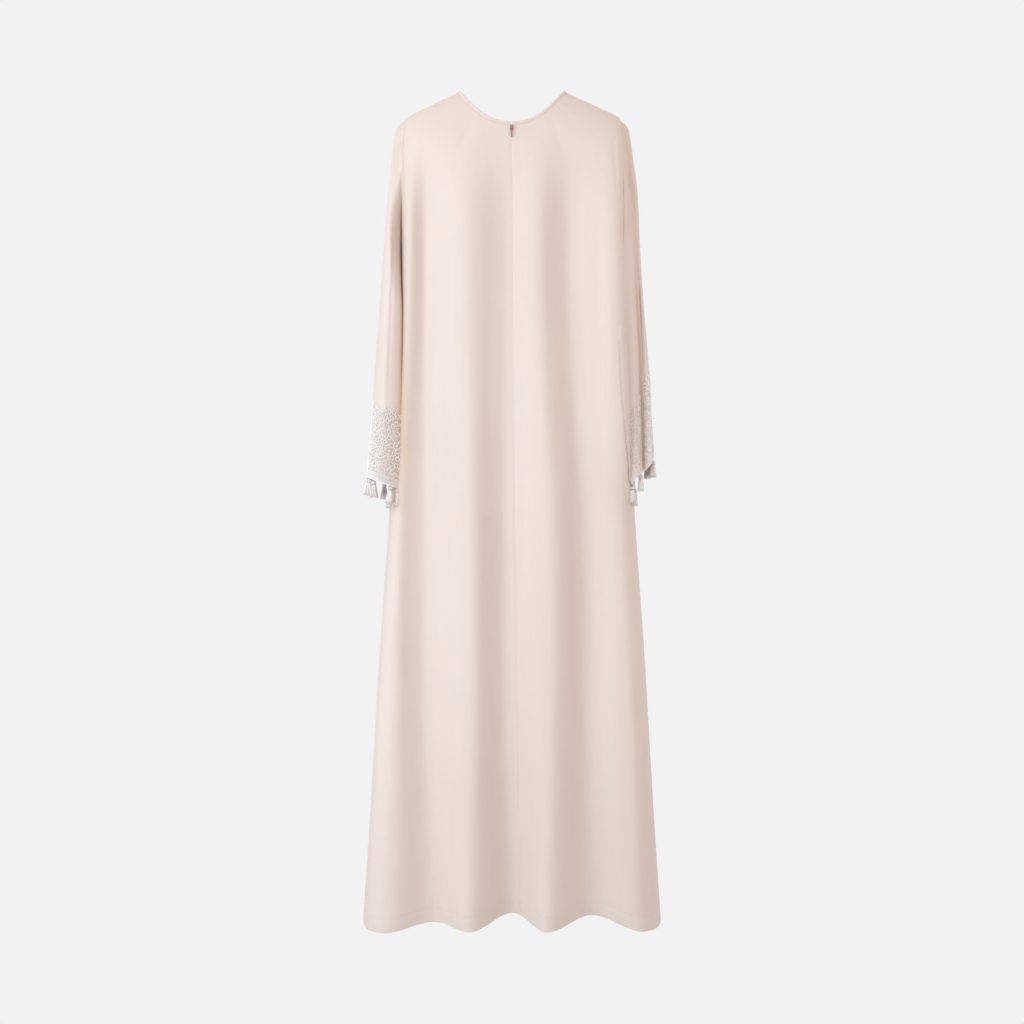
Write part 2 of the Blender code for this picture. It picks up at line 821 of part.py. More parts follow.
def make_zip(back, materials):
    """Slider with its bridge, and the pull tab that swings on it.

    Both are modelled upright, facing -Y, and then leaned with the cloth. The pull's origin
    is on its hinge, the middle of its cross bar.
    """
    seat, lean = slider_place(back)
    hinge_out = SLIDER_THICK + PULL_PLAY + PULL_THICK / 2
    bridge_in = SLIDER_THICK + PULL_THICK + 2 * PULL_PLAY
    bridge_out = bridge_in + BRIDGE_THICK
    half = SLIDER_WIDE / 2
    tall = SLIDER_HIGH / 2
    bridge = BRIDGE_WIDE / 2
    reach = BRIDGE_HIGH / 2
    sunk = SLIDER_THICK / 2
    slider = box_object(
        "zip_slider",
        [
            ((-half, -SLIDER_THICK, -tall), (half, 0, tall)),
            ((-bridge, -bridge_out, -reach), (bridge, -bridge_in, reach)),
            ((-bridge, -bridge_out, reach - BRIDGE_THICK), (bridge, -sunk, reach)),
            ((-bridge, -bridge_out, -reach), (bridge, -sunk, -reach + BRIDGE_THICK)),
        ],
        materials["zip_slider"],
    )
    slider.location = seat
    slider.rotation_euler = (-lean, 0, 0)

    thick = PULL_THICK / 2
    ring = PULL_RING_WIDE / 2
    arm = (PULL_RING_WIDE - BRIDGE_WIDE) / 2 - PULL_PLAY
    tab = PULL_TAB_WIDE / 2
    end = PULL_END_WIDE / 2
    foot = -PULL_LONG + thick
    pull = box_object(
        "zip_pull",
        [
            ((-ring, -thick, -thick), (ring, thick, thick)),
            ((-ring, -thick, -PULL_RING_LONG), (-ring + arm, thick, thick)),
            ((ring - arm, -thick, -PULL_RING_LONG), (ring, thick, thick)),
            ((-ring, -thick, -PULL_RING_LONG), (ring, thick, -PULL_RING_LONG + PULL_THICK)),
            ((-tab, -thick, foot), (tab, thick, -PULL_RING_LONG + thick)),
            ((-end, -thick, foot), (end, thick, foot + 2 * end)),
        ],
        materials["zip_pull"],
    )
    out = Vector((0, -math.cos(lean), math.sin(lean)))
    pull.location = seat + out * hinge_out
    pull.rotation_euler = (-lean, 0, 0)
    return slider, pull


def trim_stations(outer, inner):
    """Pairs of outer and inner points round a cuff, and which of them start a tassel's root.

    Roots are spread along each straight step of the cuff that has room for them, and none is
    close to another across a fold.
    """
    stations = []
    roots = []
    spots = []
    for index in range(len(outer)):
        after = (index + 1) % len(outer)
        steps = (outer[after] - outer[index], inner[after] - inner[index])
        length = min(step.xy.length for step in steps)
        tassels = min(round(length / TASSEL_SPACING), int(length / (ROOT_LONG + ROOT_ROOM)))
        shares = [0.0]
        for tassel in range(tassels):
            centre = (tassel + 0.5) / tassels
            spot = outer[index].lerp(outer[after], centre)
            if any((spot - other).length < TASSEL_APART for other in spots):
                continue
            spots.append(spot)
            roots.append(len(stations) + len(shares))
            shares += [centre - ROOT_LONG / 2 / length, centre + ROOT_LONG / 2 / length]
        for share in shares:
            pair = (outer[index].lerp(outer[after], share), inner[index].lerp(inner[after], share))
            stations.append(pair)
    return stations, roots


def add_tassel(mesh, root):
    """Grow a tassel down from one face of the strip: a head, then four strands."""
    middle = root.calc_center_median()
    face = bmesh.ops.extrude_discrete_faces(mesh, faces=[root])["faces"][0]
    for spot in face.verts:
        away = spot.co - middle
        away.z = 0
        spot.co = middle + away.normalized() * HEAD_WIDE * 0.55 - Vector((0, 0, HEAD_LONG))
    for strand in bmesh.ops.poke(mesh, faces=[face])["faces"]:
        outward = strand.calc_center_median() - middle
        outward.z = 0
        tip = bmesh.ops.extrude_discrete_faces(mesh, faces=[strand])["faces"][0]
        heart = tip.calc_center_median()
        for spot in tip.verts:
            spot.co = heart + (spot.co - heart) * STRAND_TIP
            spot.co += outward * (STRAND_SPREAD - 1.0)
            spot.co.z -= STRAND_LONG


def make_trim(name, cuff, material):
    """Narrow strip under the cuff's edge with its tassels."""
    stations, starts = trim_stations(*cuff)
    mesh = bmesh.new()
    low = STRIP_GAP + STRIP_HIGH
    rings = []
    for face, drop in ((0, STRIP_GAP), (0, low), (1, low), (1, STRIP_GAP)):
        rings.append([mesh.verts.new(pair[face] - Vector((0, 0, drop))) for pair in stations])
    roots = []
    for index in range(len(stations)):
        after = (index + 1) % len(stations)
        for side in range(4):
            here = rings[side]
            there = rings[(side + 1) % 4]
            face = mesh.faces.new((here[index], here[after], there[after], there[index]))
            if side == 1 and index in starts:
                roots.append(face)
    bmesh.ops.recalc_face_normals(mesh, faces=mesh.faces)
    for root in roots:
        add_tassel(mesh, root)
    bmesh.ops.recalc_face_normals(mesh, faces=mesh.faces)
    data = bpy.data.meshes.new(name)
    mesh.to_mesh(data)
    mesh.free()
    return add_object(name, data, material)


def main():
    clear_scene()
    blush = (0.86, 0.74, 0.68)
    names = ("back_left", "back_right", "front", "sleeve_left", "sleeve_right", "neck_binding")
    cloth = {name: make_material(name + "_crepe", blush, 0.6, 0.0) for name in names}
    back, front = make_body(cloth)
    make_binding(back, front, cloth["neck_binding"])
    brass = {
        "zip_slider": make_material("zip_slider_metal", (0.45, 0.30, 0.20), 0.35, 1.0),
        "zip_pull": make_material("zip_pull_metal", (0.48, 0.32, 0.22), 0.35, 1.0),
    }
    make_zip(back, brass)
    left = Sleeve(-1.0, SLEEVE_LEFT, None, CUFF_LEFT, (back, front))
    right = Sleeve(1.0, SLEEVE_RIGHT, GROOVE, CUFF_RIGHT, (back, front))
    cuff_left = make_sleeve("sleeve_left", left, cloth["sleeve_left"])
    cuff_right = make_sleeve("sleeve_right", right, cloth["sleeve_right"])
    silk = (0.84, 0.76, 0.73)
    make_trim("tassel_trim_left", cuff_left, make_material("tassel_left_silk", silk, 0.45, 0.0))
    make_trim("tassel_trim_right", cuff_right, make_material("tassel_right_silk", silk, 0.45, 0.0))


main()
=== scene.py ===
"""Looks of a full-length kaftan seen from behind: blush crepe, beaded cuffs, tassels and a zip.

The origin is midway between the two neck points. +Z is up, the back faces -Y and the wearer's
right is +X. A drop is a distance below the neck points. All sizes are in metres.
"""

import math
import random

import bmesh
import bpy
import numpy as np
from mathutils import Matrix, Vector

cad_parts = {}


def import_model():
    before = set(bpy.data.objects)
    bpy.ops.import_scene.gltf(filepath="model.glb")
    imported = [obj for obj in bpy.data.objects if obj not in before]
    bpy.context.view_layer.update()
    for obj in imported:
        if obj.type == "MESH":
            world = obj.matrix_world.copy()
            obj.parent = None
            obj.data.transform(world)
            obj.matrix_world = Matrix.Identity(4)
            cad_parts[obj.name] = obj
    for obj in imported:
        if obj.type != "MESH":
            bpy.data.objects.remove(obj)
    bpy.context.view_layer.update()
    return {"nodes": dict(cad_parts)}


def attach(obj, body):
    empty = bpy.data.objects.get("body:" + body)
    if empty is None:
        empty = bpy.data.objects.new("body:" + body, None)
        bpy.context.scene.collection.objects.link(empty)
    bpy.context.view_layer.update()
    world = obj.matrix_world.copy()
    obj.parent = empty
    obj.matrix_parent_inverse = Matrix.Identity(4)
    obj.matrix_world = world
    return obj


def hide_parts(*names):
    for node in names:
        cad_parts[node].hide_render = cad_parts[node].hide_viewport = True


# Camera of the photograph: level, square to the back
CAMERA_DISTANCE = 3.0
CAMERA_DROP = 0.75
FRAME_WIDE = 1.83296
SENSOR = 36.0

# Cloth
CLOTH_THICK = 0.0009
HEM_THICK = 0.0017
HEM_DEEP = 0.022
SEAM = 0.0003
SEAM_CLOSED = 0.0001
SLEEVE_CLEARANCE = 0.0006
CUFF_CLEARANCE = 0.0010
CLEARANCE_GROWS = 0.012
SOFT_PUSH = 0.0012
SIDE_TRIES = 12
SIDE_FROM = 0.7

# Heights, as drops
UNDERARM = 0.285
SHOULDER_POINT = 0.0475
HEM = 1.459

# Neck and shoulders
NECK_HALF = 0.1000
SHOULDER_SLOPE = 0.481
RIDGE_START = 0.0925
NECK_ROUNDING = 0.20
SHOULDER_ROUNDING = 0.07
ROUNDING_POWER = 2.4
BACK_NECK_DROP = 0.0755
FRONT_NECK_DROP = 0.112
NECK_CURVE = 2.25
ARMHOLE_HOLLOW = 0.004
NECK_COLUMNS = 9
SIDE_COLUMNS = 11
NECK_FRACTION = 0.49

# Body outline: width and depth from the centre line, and how square the section is
BODY_NAMES = ("drop", "half_width", "back_depth", "front_depth", "squareness")
BODY = [
    (0.00, 0.1910, 0.074, 0.078, 3.0),
    (0.05, 0.1920, 0.083, 0.088, 3.2),
    (0.10, 0.1955, 0.092, 0.098, 3.4),
    (0.20, 0.1975, 0.104, 0.112, 3.8),
    (0.30, 0.1975, 0.111, 0.120, 4.0),
    (0.50, 0.2040, 0.115, 0.121, 4.0),
    (0.765, 0.2175, 0.122, 0.124, 4.6),
    (1.00, 0.2330, 0.130, 0.131, 5.4),
    (1.25, 0.2477, 0.139, 0.139, 5.0),
    (1.46, 0.2613, 0.147, 0.147, 4.8),
]

# Centre-back seam: its sideways place by drop
CENTRE_BACK_NAMES = ("drop", "across")
CENTRE_BACK = [
    (0.00, -0.0010),
    (0.60, 0.0030),
    (1.20, 0.0100),
    (1.46, 0.0130),
]

# Folds: where each ridge or valley runs, how far it stands out, and how far it lifts the hem.
# Chest, hip and hem are the drops of FOLD_DROPS.
FOLD_DROPS = (0.30, 0.91, 1.46)
BACK_FOLDS = [
    # chest_x, hip_x, hem_x, chest_rise, hip_rise, hem_rise, hem_lift
    (-0.1840, -0.2110, -0.2240, 0.019, 0.016, 0.020, -0.008),
    (-0.1500, -0.1520, -0.1330, -0.015, -0.020, -0.021, 0.006),
    (-0.0773, -0.0653, -0.0720, 0.010, 0.014, 0.022, -0.001),
    (-0.0086, -0.0129, 0.0017, -0.010, -0.015, -0.028, 0.020),
    (0.0460, 0.0687, 0.0590, 0.010, 0.014, 0.024, -0.001),
    (0.0990, 0.1270, 0.1370, -0.012, -0.020, -0.027, 0.016),
    (0.1840, 0.2060, 0.2290, 0.017, 0.014, 0.020, -0.006),
]
FRONT_FOLDS = [
    # chest_x, hip_x, hem_x, chest_rise, hip_rise, hem_rise, hem_lift
    (-0.1880, -0.2060, -0.2230, 0.002, 0.006, 0.010, -0.003),
    (-0.1330, -0.1390, -0.1480, -0.008, -0.013, -0.020, 0.012),
    (-0.0700, -0.0790, -0.0850, 0.009, 0.013, 0.022, -0.001),
    (-0.0180, -0.0200, -0.0160, -0.007, -0.013, -0.024, 0.015),
    (0.0420, 0.0460, 0.0560, 0.008, 0.014, 0.024, -0.001),
    (0.1060, 0.1130, 0.1220, -0.010, -0.014, -0.020, 0.012),
    (0.1860, 0.2040, 0.2260, 0.002, 0.006, 0.010, -0.003),
]
FOLD_START = 0.07
FOLD_FULL = 0.26
SIDE_FADE = 0.05
LIFT_REACH = 0.3

# The right back corner is squarer from the shoulder down to a drop, and then fades
RIGHT_FULLER = 2.8
FULLER_END = 0.55
FULLER_FADE = 0.20

# Lesser creases of the panels: soft troughs where rise is below zero, soft ridges above it
CREASE_POWER = 1.5
CREASE_END_POWER = 0.7
CREASE_EDGE = 0.02
BACK_CREASES = [
    # top_across, top_drop, low_across, low_drop, half_width, rise
    (0.1500, 0.150, 0.1480, 0.640, 0.0100, -0.0016),
    (0.1660, 0.230, 0.1700, 0.900, 0.0090, 0.0012),
    (0.0260, 0.300, 0.0320, 0.980, 0.0110, 0.0010),
    (0.0870, 0.420, 0.0960, 1.250, 0.0130, 0.0016),
    (-0.0380, 0.260, -0.0420, 0.940, 0.0100, -0.0009),
    (-0.1060, 0.340, -0.1040, 1.120, 0.0120, 0.0010),
    (-0.1740, 0.520, -0.1860, 1.300, 0.0100, -0.0012),
    (0.1760, 0.090, 0.1830, 0.200, 0.0045, -0.0012),
    (0.1830, 0.100, 0.1880, 0.190, 0.0035, 0.0010),
    (-0.1790, 0.085, -0.1860, 0.150, 0.0040, 0.0014),
    (0.0630, 0.045, 0.0900, 0.130, 0.0060, -0.0008),
    (-0.0650, 0.050, -0.1020, 0.150, 0.0080, -0.0008),
    (-0.2000, 0.900, -0.2080, 1.440, 0.0100, -0.0016),
    (0.1900, 0.960, 0.2010, 1.450, 0.0110, -0.0022),
]
FRONT_CREASES = [
    # top_across, top_drop, low_across, low_drop, half_width, rise
    (-0.1500, 0.160, -0.1560, 0.700, 0.0110, -0.0016),
    (-0.1040, 0.300, -0.1120, 1.080, 0.0110, 0.0012),
    (-0.0460, 0.240, -0.0500, 0.860, 0.0100, -0.0010),
    (0.0120, 0.320, 0.0160, 1.150, 0.0120, 0.0012),
    (0.0740, 0.260, 0.0820, 0.940, 0.0110, -0.0012),
    (0.1460, 0.200, 0.1560, 0.800, 0.0100, 0.0014),
    (0.1720, 0.100, 0.1820, 0.230, 0.0050, -0.0014),
    (-0.1740, 0.100, -0.1830, 0.220, 0.0050, -0.0012),
    (0.0500, 0.130, 0.0800, 0.260, 0.0080, 0.0010),
    (-0.0540, 0.135, -0.0900, 0.280, 0.0090, 0.0010),
]

# Sleeves: outer and inner faces across, back and front edges in depth
SLEEVE_NAMES = ("drop", "outer", "inner", "back", "front")
SLEEVE_LEFT = [
    (0.0475, 0.1970, 0.181, -0.030, 0.040),
    (0.0590, 0.2030, 0.183, -0.045, 0.048),
    (0.0700, 0.2072, 0.185, -0.054, 0.053),
    (0.0840, 0.2108, 0.186, -0.064, 0.060),
    (0.1200, 0.2145, 0.187, -0.082, 0.068),
    (0.1920, 0.2212, 0.187, -0.094, 0.074),
    (0.2630, 0.2265, 0.187, -0.098, 0.076),
    (0.3700, 0.2342, 0.188, -0.102, 0.078),
    (0.5140, 0.2450, 0.189, -0.107, 0.080),
    (0.6000, 0.2505, 0.189, -0.110, 0.080),
    (0.7200, 0.2610, 0.188, -0.114, 0.082),
]
SLEEVE_RIGHT = [
    (0.0475, 0.1950, 0.181, -0.030, 0.040),
    (0.0590, 0.2005, 0.183, -0.046, 0.048),
    (0.0700, 0.2045, 0.184, -0.054, 0.053),
    (0.0840, 0.2080, 0.185, -0.064, 0.060),
    (0.1200, 0.2130, 0.185, -0.078, 0.068),
    (0.1920, 0.2214, 0.184, -0.090, 0.074),
    (0.2630, 0.2240, 0.184, -0.097, 0.076),
    (0.3700, 0.2292, 0.185, -0.102, 0.078),
    (0.5140, 0.2408, 0.189, -0.106, 0.080),
    (0.6000, 0.2446, 0.193, -0.108, 0.080),
    (0.7200, 0.2550, 0.198, -0.110, 0.082),
]

# Fold along the back edge of the right sleeve: a groove between an inner and an outer lobe
GROOVE_NAMES = ("drop", "across", "half_width", "bottom", "outer_lobe")
GROOVE = [
    (0.0475, 0.1900, 0.0012, -0.032, -0.022),
    (0.0840, 0.2000, 0.0016, -0.058, -0.050),
    (0.1200, 0.2040, 0.0022, -0.068, -0.064),
    (0.1920, 0.2092, 0.0030, -0.082, -0.076),
    (0.2630, 0.2132, 0.0033, -0.086, -0.084),
    (0.3700, 0.2183, 0.0036, -0.089, -0.091),
    (0.5140, 0.2238, 0.0040, -0.090, -0.097),
    (0.7200, 0.2283, 0.0042, -0.091, -0.103),
]
# How far in the inner lobe laps over the back, and the angles round the sleeve that lie on it
LAP_NAMES = ("drop", "reach")
LAP = [
    (0.0475, 0.181),
    (0.0840, 0.181),
    (0.1200, 0.179),
    (0.1920, 0.177),
    (0.2630, 0.177),
    (0.3700, 0.179),
    (0.5140, 0.185),
    (0.6000, 0.192),
    (0.6600, 0.199),
    (0.7200, 0.203),
]
LAP_ANGLES = (92.0, 118.0)
LAP_CLEARANCE = 0.0012

# How far below the armhole a sleeve reaches its full width, at its outer face and elsewhere, and
# its full depth, plain and with the fold
HEAD_REACH = 0.013
FULL_REACH = 0.13
HEAD_ANGLE = 33.75
HEAD_FADE = 22.5
PLAIN_SWELL = 0.17
FOLDED_SWELL = 0.13

# Drops of the cuff's edge at its outer and its inner side
CUFF_LEFT = (0.684, 0.708)
CUFF_RIGHT = (0.653, 0.704)

# Lesser creases of the sleeves, by angle round them
LEFT_SLEEVE_CREASES = [
    # top_angle, top_drop, low_angle, low_drop, half_angle, rise
    (62.0, 0.110, 66.0, 0.560, 12.0, 0.0012),
    (96.0, 0.200, 99.0, 0.660, 7.0, -0.0014),
    (20.0, 0.120, 16.0, 0.480, 14.0, -0.0016),
    (340.0, 0.160, 344.0, 0.600, 12.0, 0.0014),
    (312.0, 0.110, 318.0, 0.520, 11.0, -0.0014),
    (285.0, 0.220, 281.0, 0.640, 9.0, 0.0010),
]
RIGHT_SLEEVE_CREASES = [
    # top_angle, top_drop, low_angle, low_drop, half_angle, rise
    (18.0, 0.130, 14.0, 0.560, 10.0, 0.0012),
    (352.0, 0.140, 356.0, 0.500, 13.0, -0.0014),
    (330.0, 0.200, 326.0, 0.620, 11.0, 0.0014),
    (305.0, 0.110, 311.0, 0.540, 12.0, -0.0016),
    (282.0, 0.240, 279.0, 0.640, 9.0, 0.0010),
]

# Fine grids, and the angle from which an edge of the cloth looks sharp
SHARP_ANGLE = 50.0
PANEL_STEPS = 66
SEAM_STEPS = (0.0022, 0.0050, 0.0090)
HEM_STEPS = (
    *(0.0, 0.0006, 0.0016, 0.003, 0.006, 0.010, 0.015),
    *(0.0185, 0.0205, 0.0220, 0.0235, 0.027, 0.034),
)
PANEL_ROWS = 100
YOKE_ROWS = 56
SLEEVE_COLUMNS = 160
SLEEVE_ROWS = 104
SLEEVE_ROW_POWER = 1.3
CUFF_STEPS = (0.004, 0.0018, 0.0)
NECK_STEPS = 48

# Seams and hems. The waves of the pucker are in radians by the metre.
HEM_ROLL = 0.28
HEM_GROOVE = 0.00035
HEM_GROOVE_WIDE = 0.0014
HEM_EDGE = 0.001
BAND_EDGE = 0.0015
SEAM_ROLL_WIDE = 0.0022
SEAM_ROLL_DEEP = 0.0007
PUCKER = 0.00025
PUCKER_WIDE = 0.011
PUCKER_WAVES = (370.0, 88.0, 611.0)
ARMHOLE_DIP = 0.12
ARMHOLE_START = 0.05
STITCH_PITCH = 0.0026
STITCH_SIZE = (STITCH_PITCH * 0.72, 0.0005, 0.0004)

# Easing of the cloth where it leaves the armhole, and of the binding's lean
EASING = 60
EASE_LIFT = 0.01
EASE_WIDE = 0.075
EASE_ROWS = 10.0
NECK_EASING = 10

# Neck binding. Its profile gives the share of the height and how far each line stands out, in
# thicknesses. It is open at the centre back by the notch, and its waves are in radians by the
# metre.
BINDING_HEIGHT = 0.0062
BINDING_THICK = 0.0013
BINDING_LEAN = 0.25
BINDING_TURN = 50.0
BINDING_TURN_POWER = 1.3
BINDING_RIPPLE = 0.00022
BINDING_WAVES = (520.0, 47.0)
RIPPLE_FROM = 0.2
BINDING_CROWN = 0.35
CROWN_GAP = 0.00005
NOTCH = 0.0060
BINDING_PROFILE = (
    (0.0, 0.05),
    (0.14, -0.10),
    (0.24, 0.16),
    (0.55, 0.30),
    (0.82, 0.22),
    (0.95, 0.02),
)

# The solid cuff that carries the tassels
SOLID_COLUMNS = 32
SOLID_ROWS = 13
SOLID_ROW_POWER = 1.45
SOLID_WALL = 0.002
TASSEL_SPACING = 0.0190
TASSEL_APART = 0.0122
ROOT_LONG = 0.0062
ROOT_ROOM = 0.0024
STRIP_HIGH = 0.0035
STRIP_GAP = 0.0014

# Tassels
LEFT_TASSELS_SEED = 31
RIGHT_TASSELS_SEED = 37
HEAD_LONG = 0.0070
HEAD_OVERLAP = 0.0012
SKIRT_TOP = 0.0026
SKIRT_BELL = 1.7
LEFT_FOOT = 0.0070
RIGHT_FOOT = 0.0056
SKIRT_LONG = 0.0245
TASSEL_SWING = (0.0012, 0.0010)
THREAD_RADIUS = 0.00040
THREAD_SIDES = 3
THREAD_COUNT = 46
THREAD_APART = 0.35
THREAD_TWIST = 0.16
THREAD_WIDTHS = (0.96, 1.04)
THREAD_LENGTHS = (0.955, 1.0)
CORE_SHARE = 0.90
CORE_LONG = 0.94
CORE_SIDES = 20
THREAD_STEPS = (0.0, 0.16, 0.38, 0.66, 1.0)
CAP_RINGS = [
    # drop, radius, count, size, tone
    (0.0006, 0.0014, 5, 0.0018, 0.05),
    (0.0021, 0.0026, 8, 0.0020, 0.80),
    (0.0037, 0.0034, 10, 0.0021, 0.95),
    (0.0053, 0.0036, 11, 0.0021, 0.85),
    (0.0069, 0.0031, 13, 0.0016, 0.05),
]
CAP_TOP = 0.003
CAP_TOP_TILT = 0.35
CAP_SIDE_TILT = 0.1
CAP_TWIST = 300.0
CAP_FLAT = 0.85
CAP_TONE = 0.05
BRAID_PITCH = 0.0021
BRAID_DROPS = (0.0008, 0.0024, 0.0040)
BRAID_WIDE = 1.02
BRAID_TONES = (0.35, 1.0)
ANY_TURN = 6.3
UP = (0.0, 0.0, 1.0)

# Bead work: bead sizes, and a bead's length, width and height as shares of its size
BEAD = 0.0023
BEAD_SMALL = 0.0020
BEAD_SHAPE = (1.04, 0.98, 0.95)
BEAD_SUNK = 0.26
BEAD_APART = 0.86
BEAD_TONE = 0.18
BEAD_TURN = 3.14
BEAD_SLANT = 0.3
LEFT_BEADS_SEED = 11
RIGHT_BEADS_SEED = 23
FIELD_CELL = 0.0025

# Its border: two rows and a row of rings between them
BORDER_ROWS = (0.0016, 0.0098)
BORDER_TONE = 0.75
BORDER_MIDDLE = 0.0057
BORDER_PITCH = 0.0066
BORDER_RING = 0.0021
BORDER_RING_TONES = (0.6, 0.9)

# Its vines, with a leaf at the tip and scrolls and leaves on either side
VINE_SPACING = 0.034
VINE_PLACES = (0.35, 0.65)
VINE_FOOT = 0.011
VINE_SHORTER = (0.004, 0.020)
VINE_SWAY = (0.003, 0.006)
VINE_WAVES = 1.15
VINE_TONE = 0.85
VINE_STEPS = 80
TIP_LONG = 0.012
TIP_WIDE = 0.006
TIP_LEAN = 0.25
TIP_TONE = 0.9
FIRST_SHOOT = 5
LAST_SHOOT = 6
SHOOTS_APART = (5, 8)
SHOOT_LEAN = (0.7, 1.1)
SHOOT_TONES = (0.65, 1.0)
SCROLL_SHARE = 0.55
SCROLL_SIZES = (0.0048, 0.0070)
SCROLL_STEP = 0.0008
SCROLL_END = 0.26
SCROLL_WINDS = 0.972
LEAF_LENGTHS = (0.011, 0.015)
LEAF_WIDTHS = (0.0045, 0.006)
LEAF_STEPS = 18
LEAF_POWER = 0.8

# Rings and single beads between them, thinner towards the top
FILLING_TRIES = 16000
FILLING_FOOT = 0.012
FILLING_TONES = (0.55, 1.0)
THIN_FROM = 0.62
THIN_OVER = 0.38
THINNED = 0.75
MOST_ROOM = 0.0062
RING_ROOM = 0.0036
RING_MOST = 0.0036
RING_STEPS = 28
SINGLE_ROOM = 0.0026
SINGLE_SHARE = 0.4

# Ripples of its upper edge: height, radians by the metre and start
TOP_WAVES = [(0.0035, 190.0, 0.0), (0.0025, 407.0, 1.0)]

# Heights of the bead work, and the angles of the right sleeve's fold that are left bare
LEFT_TOPS = [
    # angle, height above the cuff
    (0.0, 0.150),
    (45.0, 0.128),
    (75.0, 0.119),
    (100.0, 0.132),
    (180.0, 0.120),
    (270.0, 0.130),
    (320.0, 0.142),
]
RIGHT_TOPS = [
    (0.0, 0.158),
    (45.0, 0.152),
    (90.0, 0.130),
    (112.0, 0.118),
    (180.0, 0.120),
    (270.0, 0.130),
    (320.0, 0.145),
]
RIGHT_BARE = [(59.0, 86.0), (111.0, 130.0)]
# Greyer ground under the bead work: partly its own tone, partly painted shade between the beads. It
# is weaker on the right sleeve: painted light on a cuff that lies in shade.
BEAD_GROUND_EDGE = 0.010
BEAD_GROUND_SHADE = (0.84, 0.81, 0.81)
LEFT_GROUND_SHADE = 1.0
RIGHT_GROUND_SHADE = 0.55

# Painted shade, warm in colour, along narrow valleys: where the left sleeve meets the back, and
# in the fold of the right sleeve; the back also gets a wide band of it beside the left sleeve.
# Each has a side, its line down the cloth, a half width and a strength.
LEFT_SHADE_LINE = [
    # drop, across, strength
    (0.070, 0.1975, 0.50),
    (0.100, 0.1970, 0.35),
    (0.120, 0.1931, 0.25),
    (0.172, 0.1879, 0.25),
    (0.259, 0.1879, 0.30),
    (0.312, 0.1910, 0.40),
    (0.420, 0.1920, 0.80),
    (0.555, 0.1931, 1.20),
    (0.642, 0.1949, 1.20),
    (0.694, 0.2010, 0.90),
    (0.760, 0.2050, 0.60),
]
RIGHT_SHADE_LINE = [(row[0], row[1], 1.0) for row in GROOVE]
SLEEVE_PAINTED_SHADE = [(-1.0, LEFT_SHADE_LINE, 0.0032, 0.60), (1.0, RIGHT_SHADE_LINE, 0.0042, 0.36)]
BACK_PAINTED_SHADE = [(-1.0, LEFT_SHADE_LINE, 0.0036, 0.95), (-1.0, LEFT_SHADE_LINE, 0.0160, 0.55)]
PAINTED_VALLEY_SHADE = (0.80, 0.64, 0.47)

# Over how far each painted shade starts and ends, and how far behind the centre plane it lies at
# least
VALLEY_START = 0.03
VALLEY_END = 0.02
VALLEY_BACK = -0.03

# Colours
BLUSH = (0.880, 0.778, 0.722)
THROUGH_COLOUR = (0.95, 0.74, 0.60)
THROUGH_SHARE = 0.20
BINDING_BLUSH = (0.885, 0.770, 0.712)
CREPE_SHEEN = 0.30
BINDING_SHEEN = 0.35
CREPE_DEEP = (0.962, 0.945, 0.935)
CREPE_LIGHT = (1.012, 1.016, 1.02)
CREPE_BAND = (0.955, 0.965, 0.97)
SHEEN_TINT = (1.0, 0.93, 0.90, 1.0)
THREAD_COLOURS = ((0.74, 0.62, 0.57), (0.84, 0.74, 0.69))
SILK_COLOURS = ((0.95, 0.85, 0.82), (1.0, 0.94, 0.915))
BEAD_COLOURS = [
    (0.0, (0.50, 0.40, 0.39)),
    (0.25, (0.84, 0.74, 0.71)),
    (0.55, (0.96, 0.89, 0.87)),
    (1.0, (1.0, 0.97, 0.955)),
]
BEAD_CLOUD = [(0.3, (0.8, 0.8, 0.8)), (0.7, (1.0, 1.0, 1.0))]
ZIP_METALS = [
    # node, material, dark, light, roughness
    ("zip_slider", "slider_brass", (0.42, 0.27, 0.17), (0.56, 0.38, 0.25), 0.26),
    ("zip_pull", "pull_brass", (0.36, 0.22, 0.15), (0.50, 0.33, 0.23), 0.30),
]
ZIP_ROUNDING = 0.00022

# The body that every piece of the garment rides on
GARMENT = "kaftan"

# Studio
BACKDROP = 0.888
FILL = 0.93
FILL_COLOUR = (1.0, 0.94, 0.915)
FLOOR = -1.62
FLOOR_WIDE = 14.0
FLOOR_STEPS = 96
CARD_LIFT = 0.002
CARD_WIDE = 0.9
CARD_STEPS = 64
CARD_GREY = 0.60
KEY_PLACE = (-1.66, -1.53, -0.30)
KEY_TARGET = (0.0, 0.0, -0.60)
KEY_SIZE = (1.36, 1.7)
KEY_POWER = 26.0
KEY_COLOUR = (0.66, 0.90, 1.0)


def smooth(value):
    value = min(1.0, max(0.0, value))
    return value * value * (3.0 - 2.0 * value)


def mix(low, high, share):
    return low + (high - low) * share


def curve_values(rows, place, columns):
    """Values at a place on a smooth curve through four rows. Each row begins with its place."""
    before, low, high, after = rows
    span = high[0] - low[0]
    share = (place - low[0]) / span
    cube = share ** 3
    square = share ** 2
    values = []
    for column in columns:
        start = (high[column] - before[column]) / (high[0] - before[0]) * span
        end = (after[column] - low[column]) / (after[0] - low[0]) * span
        values.append(
            (2 * cube - 3 * square + 1) * low[column]
            + (cube - 2 * square + share) * start
            + (3 * square - 2 * cube) * high[column]
            + (cube - square) * end
        )
    return values


def read_table(table, names, drop):
    """Values of a table at one drop, on a smooth curve through its rows."""
    last = len(table) - 1
    drop = min(max(drop, table[0][0]), table[last][0])
    row = 0
    while row < last - 1 and drop > table[row + 1][0]:
        row += 1
    rows = (table[max(0, row - 1)], table[row], table[row + 1], table[min(last, row + 2)])
    return dict(zip(names, curve_values(rows, drop, range(len(names)))))


def body_at(drop):
    return read_table(BODY, BODY_NAMES, drop)


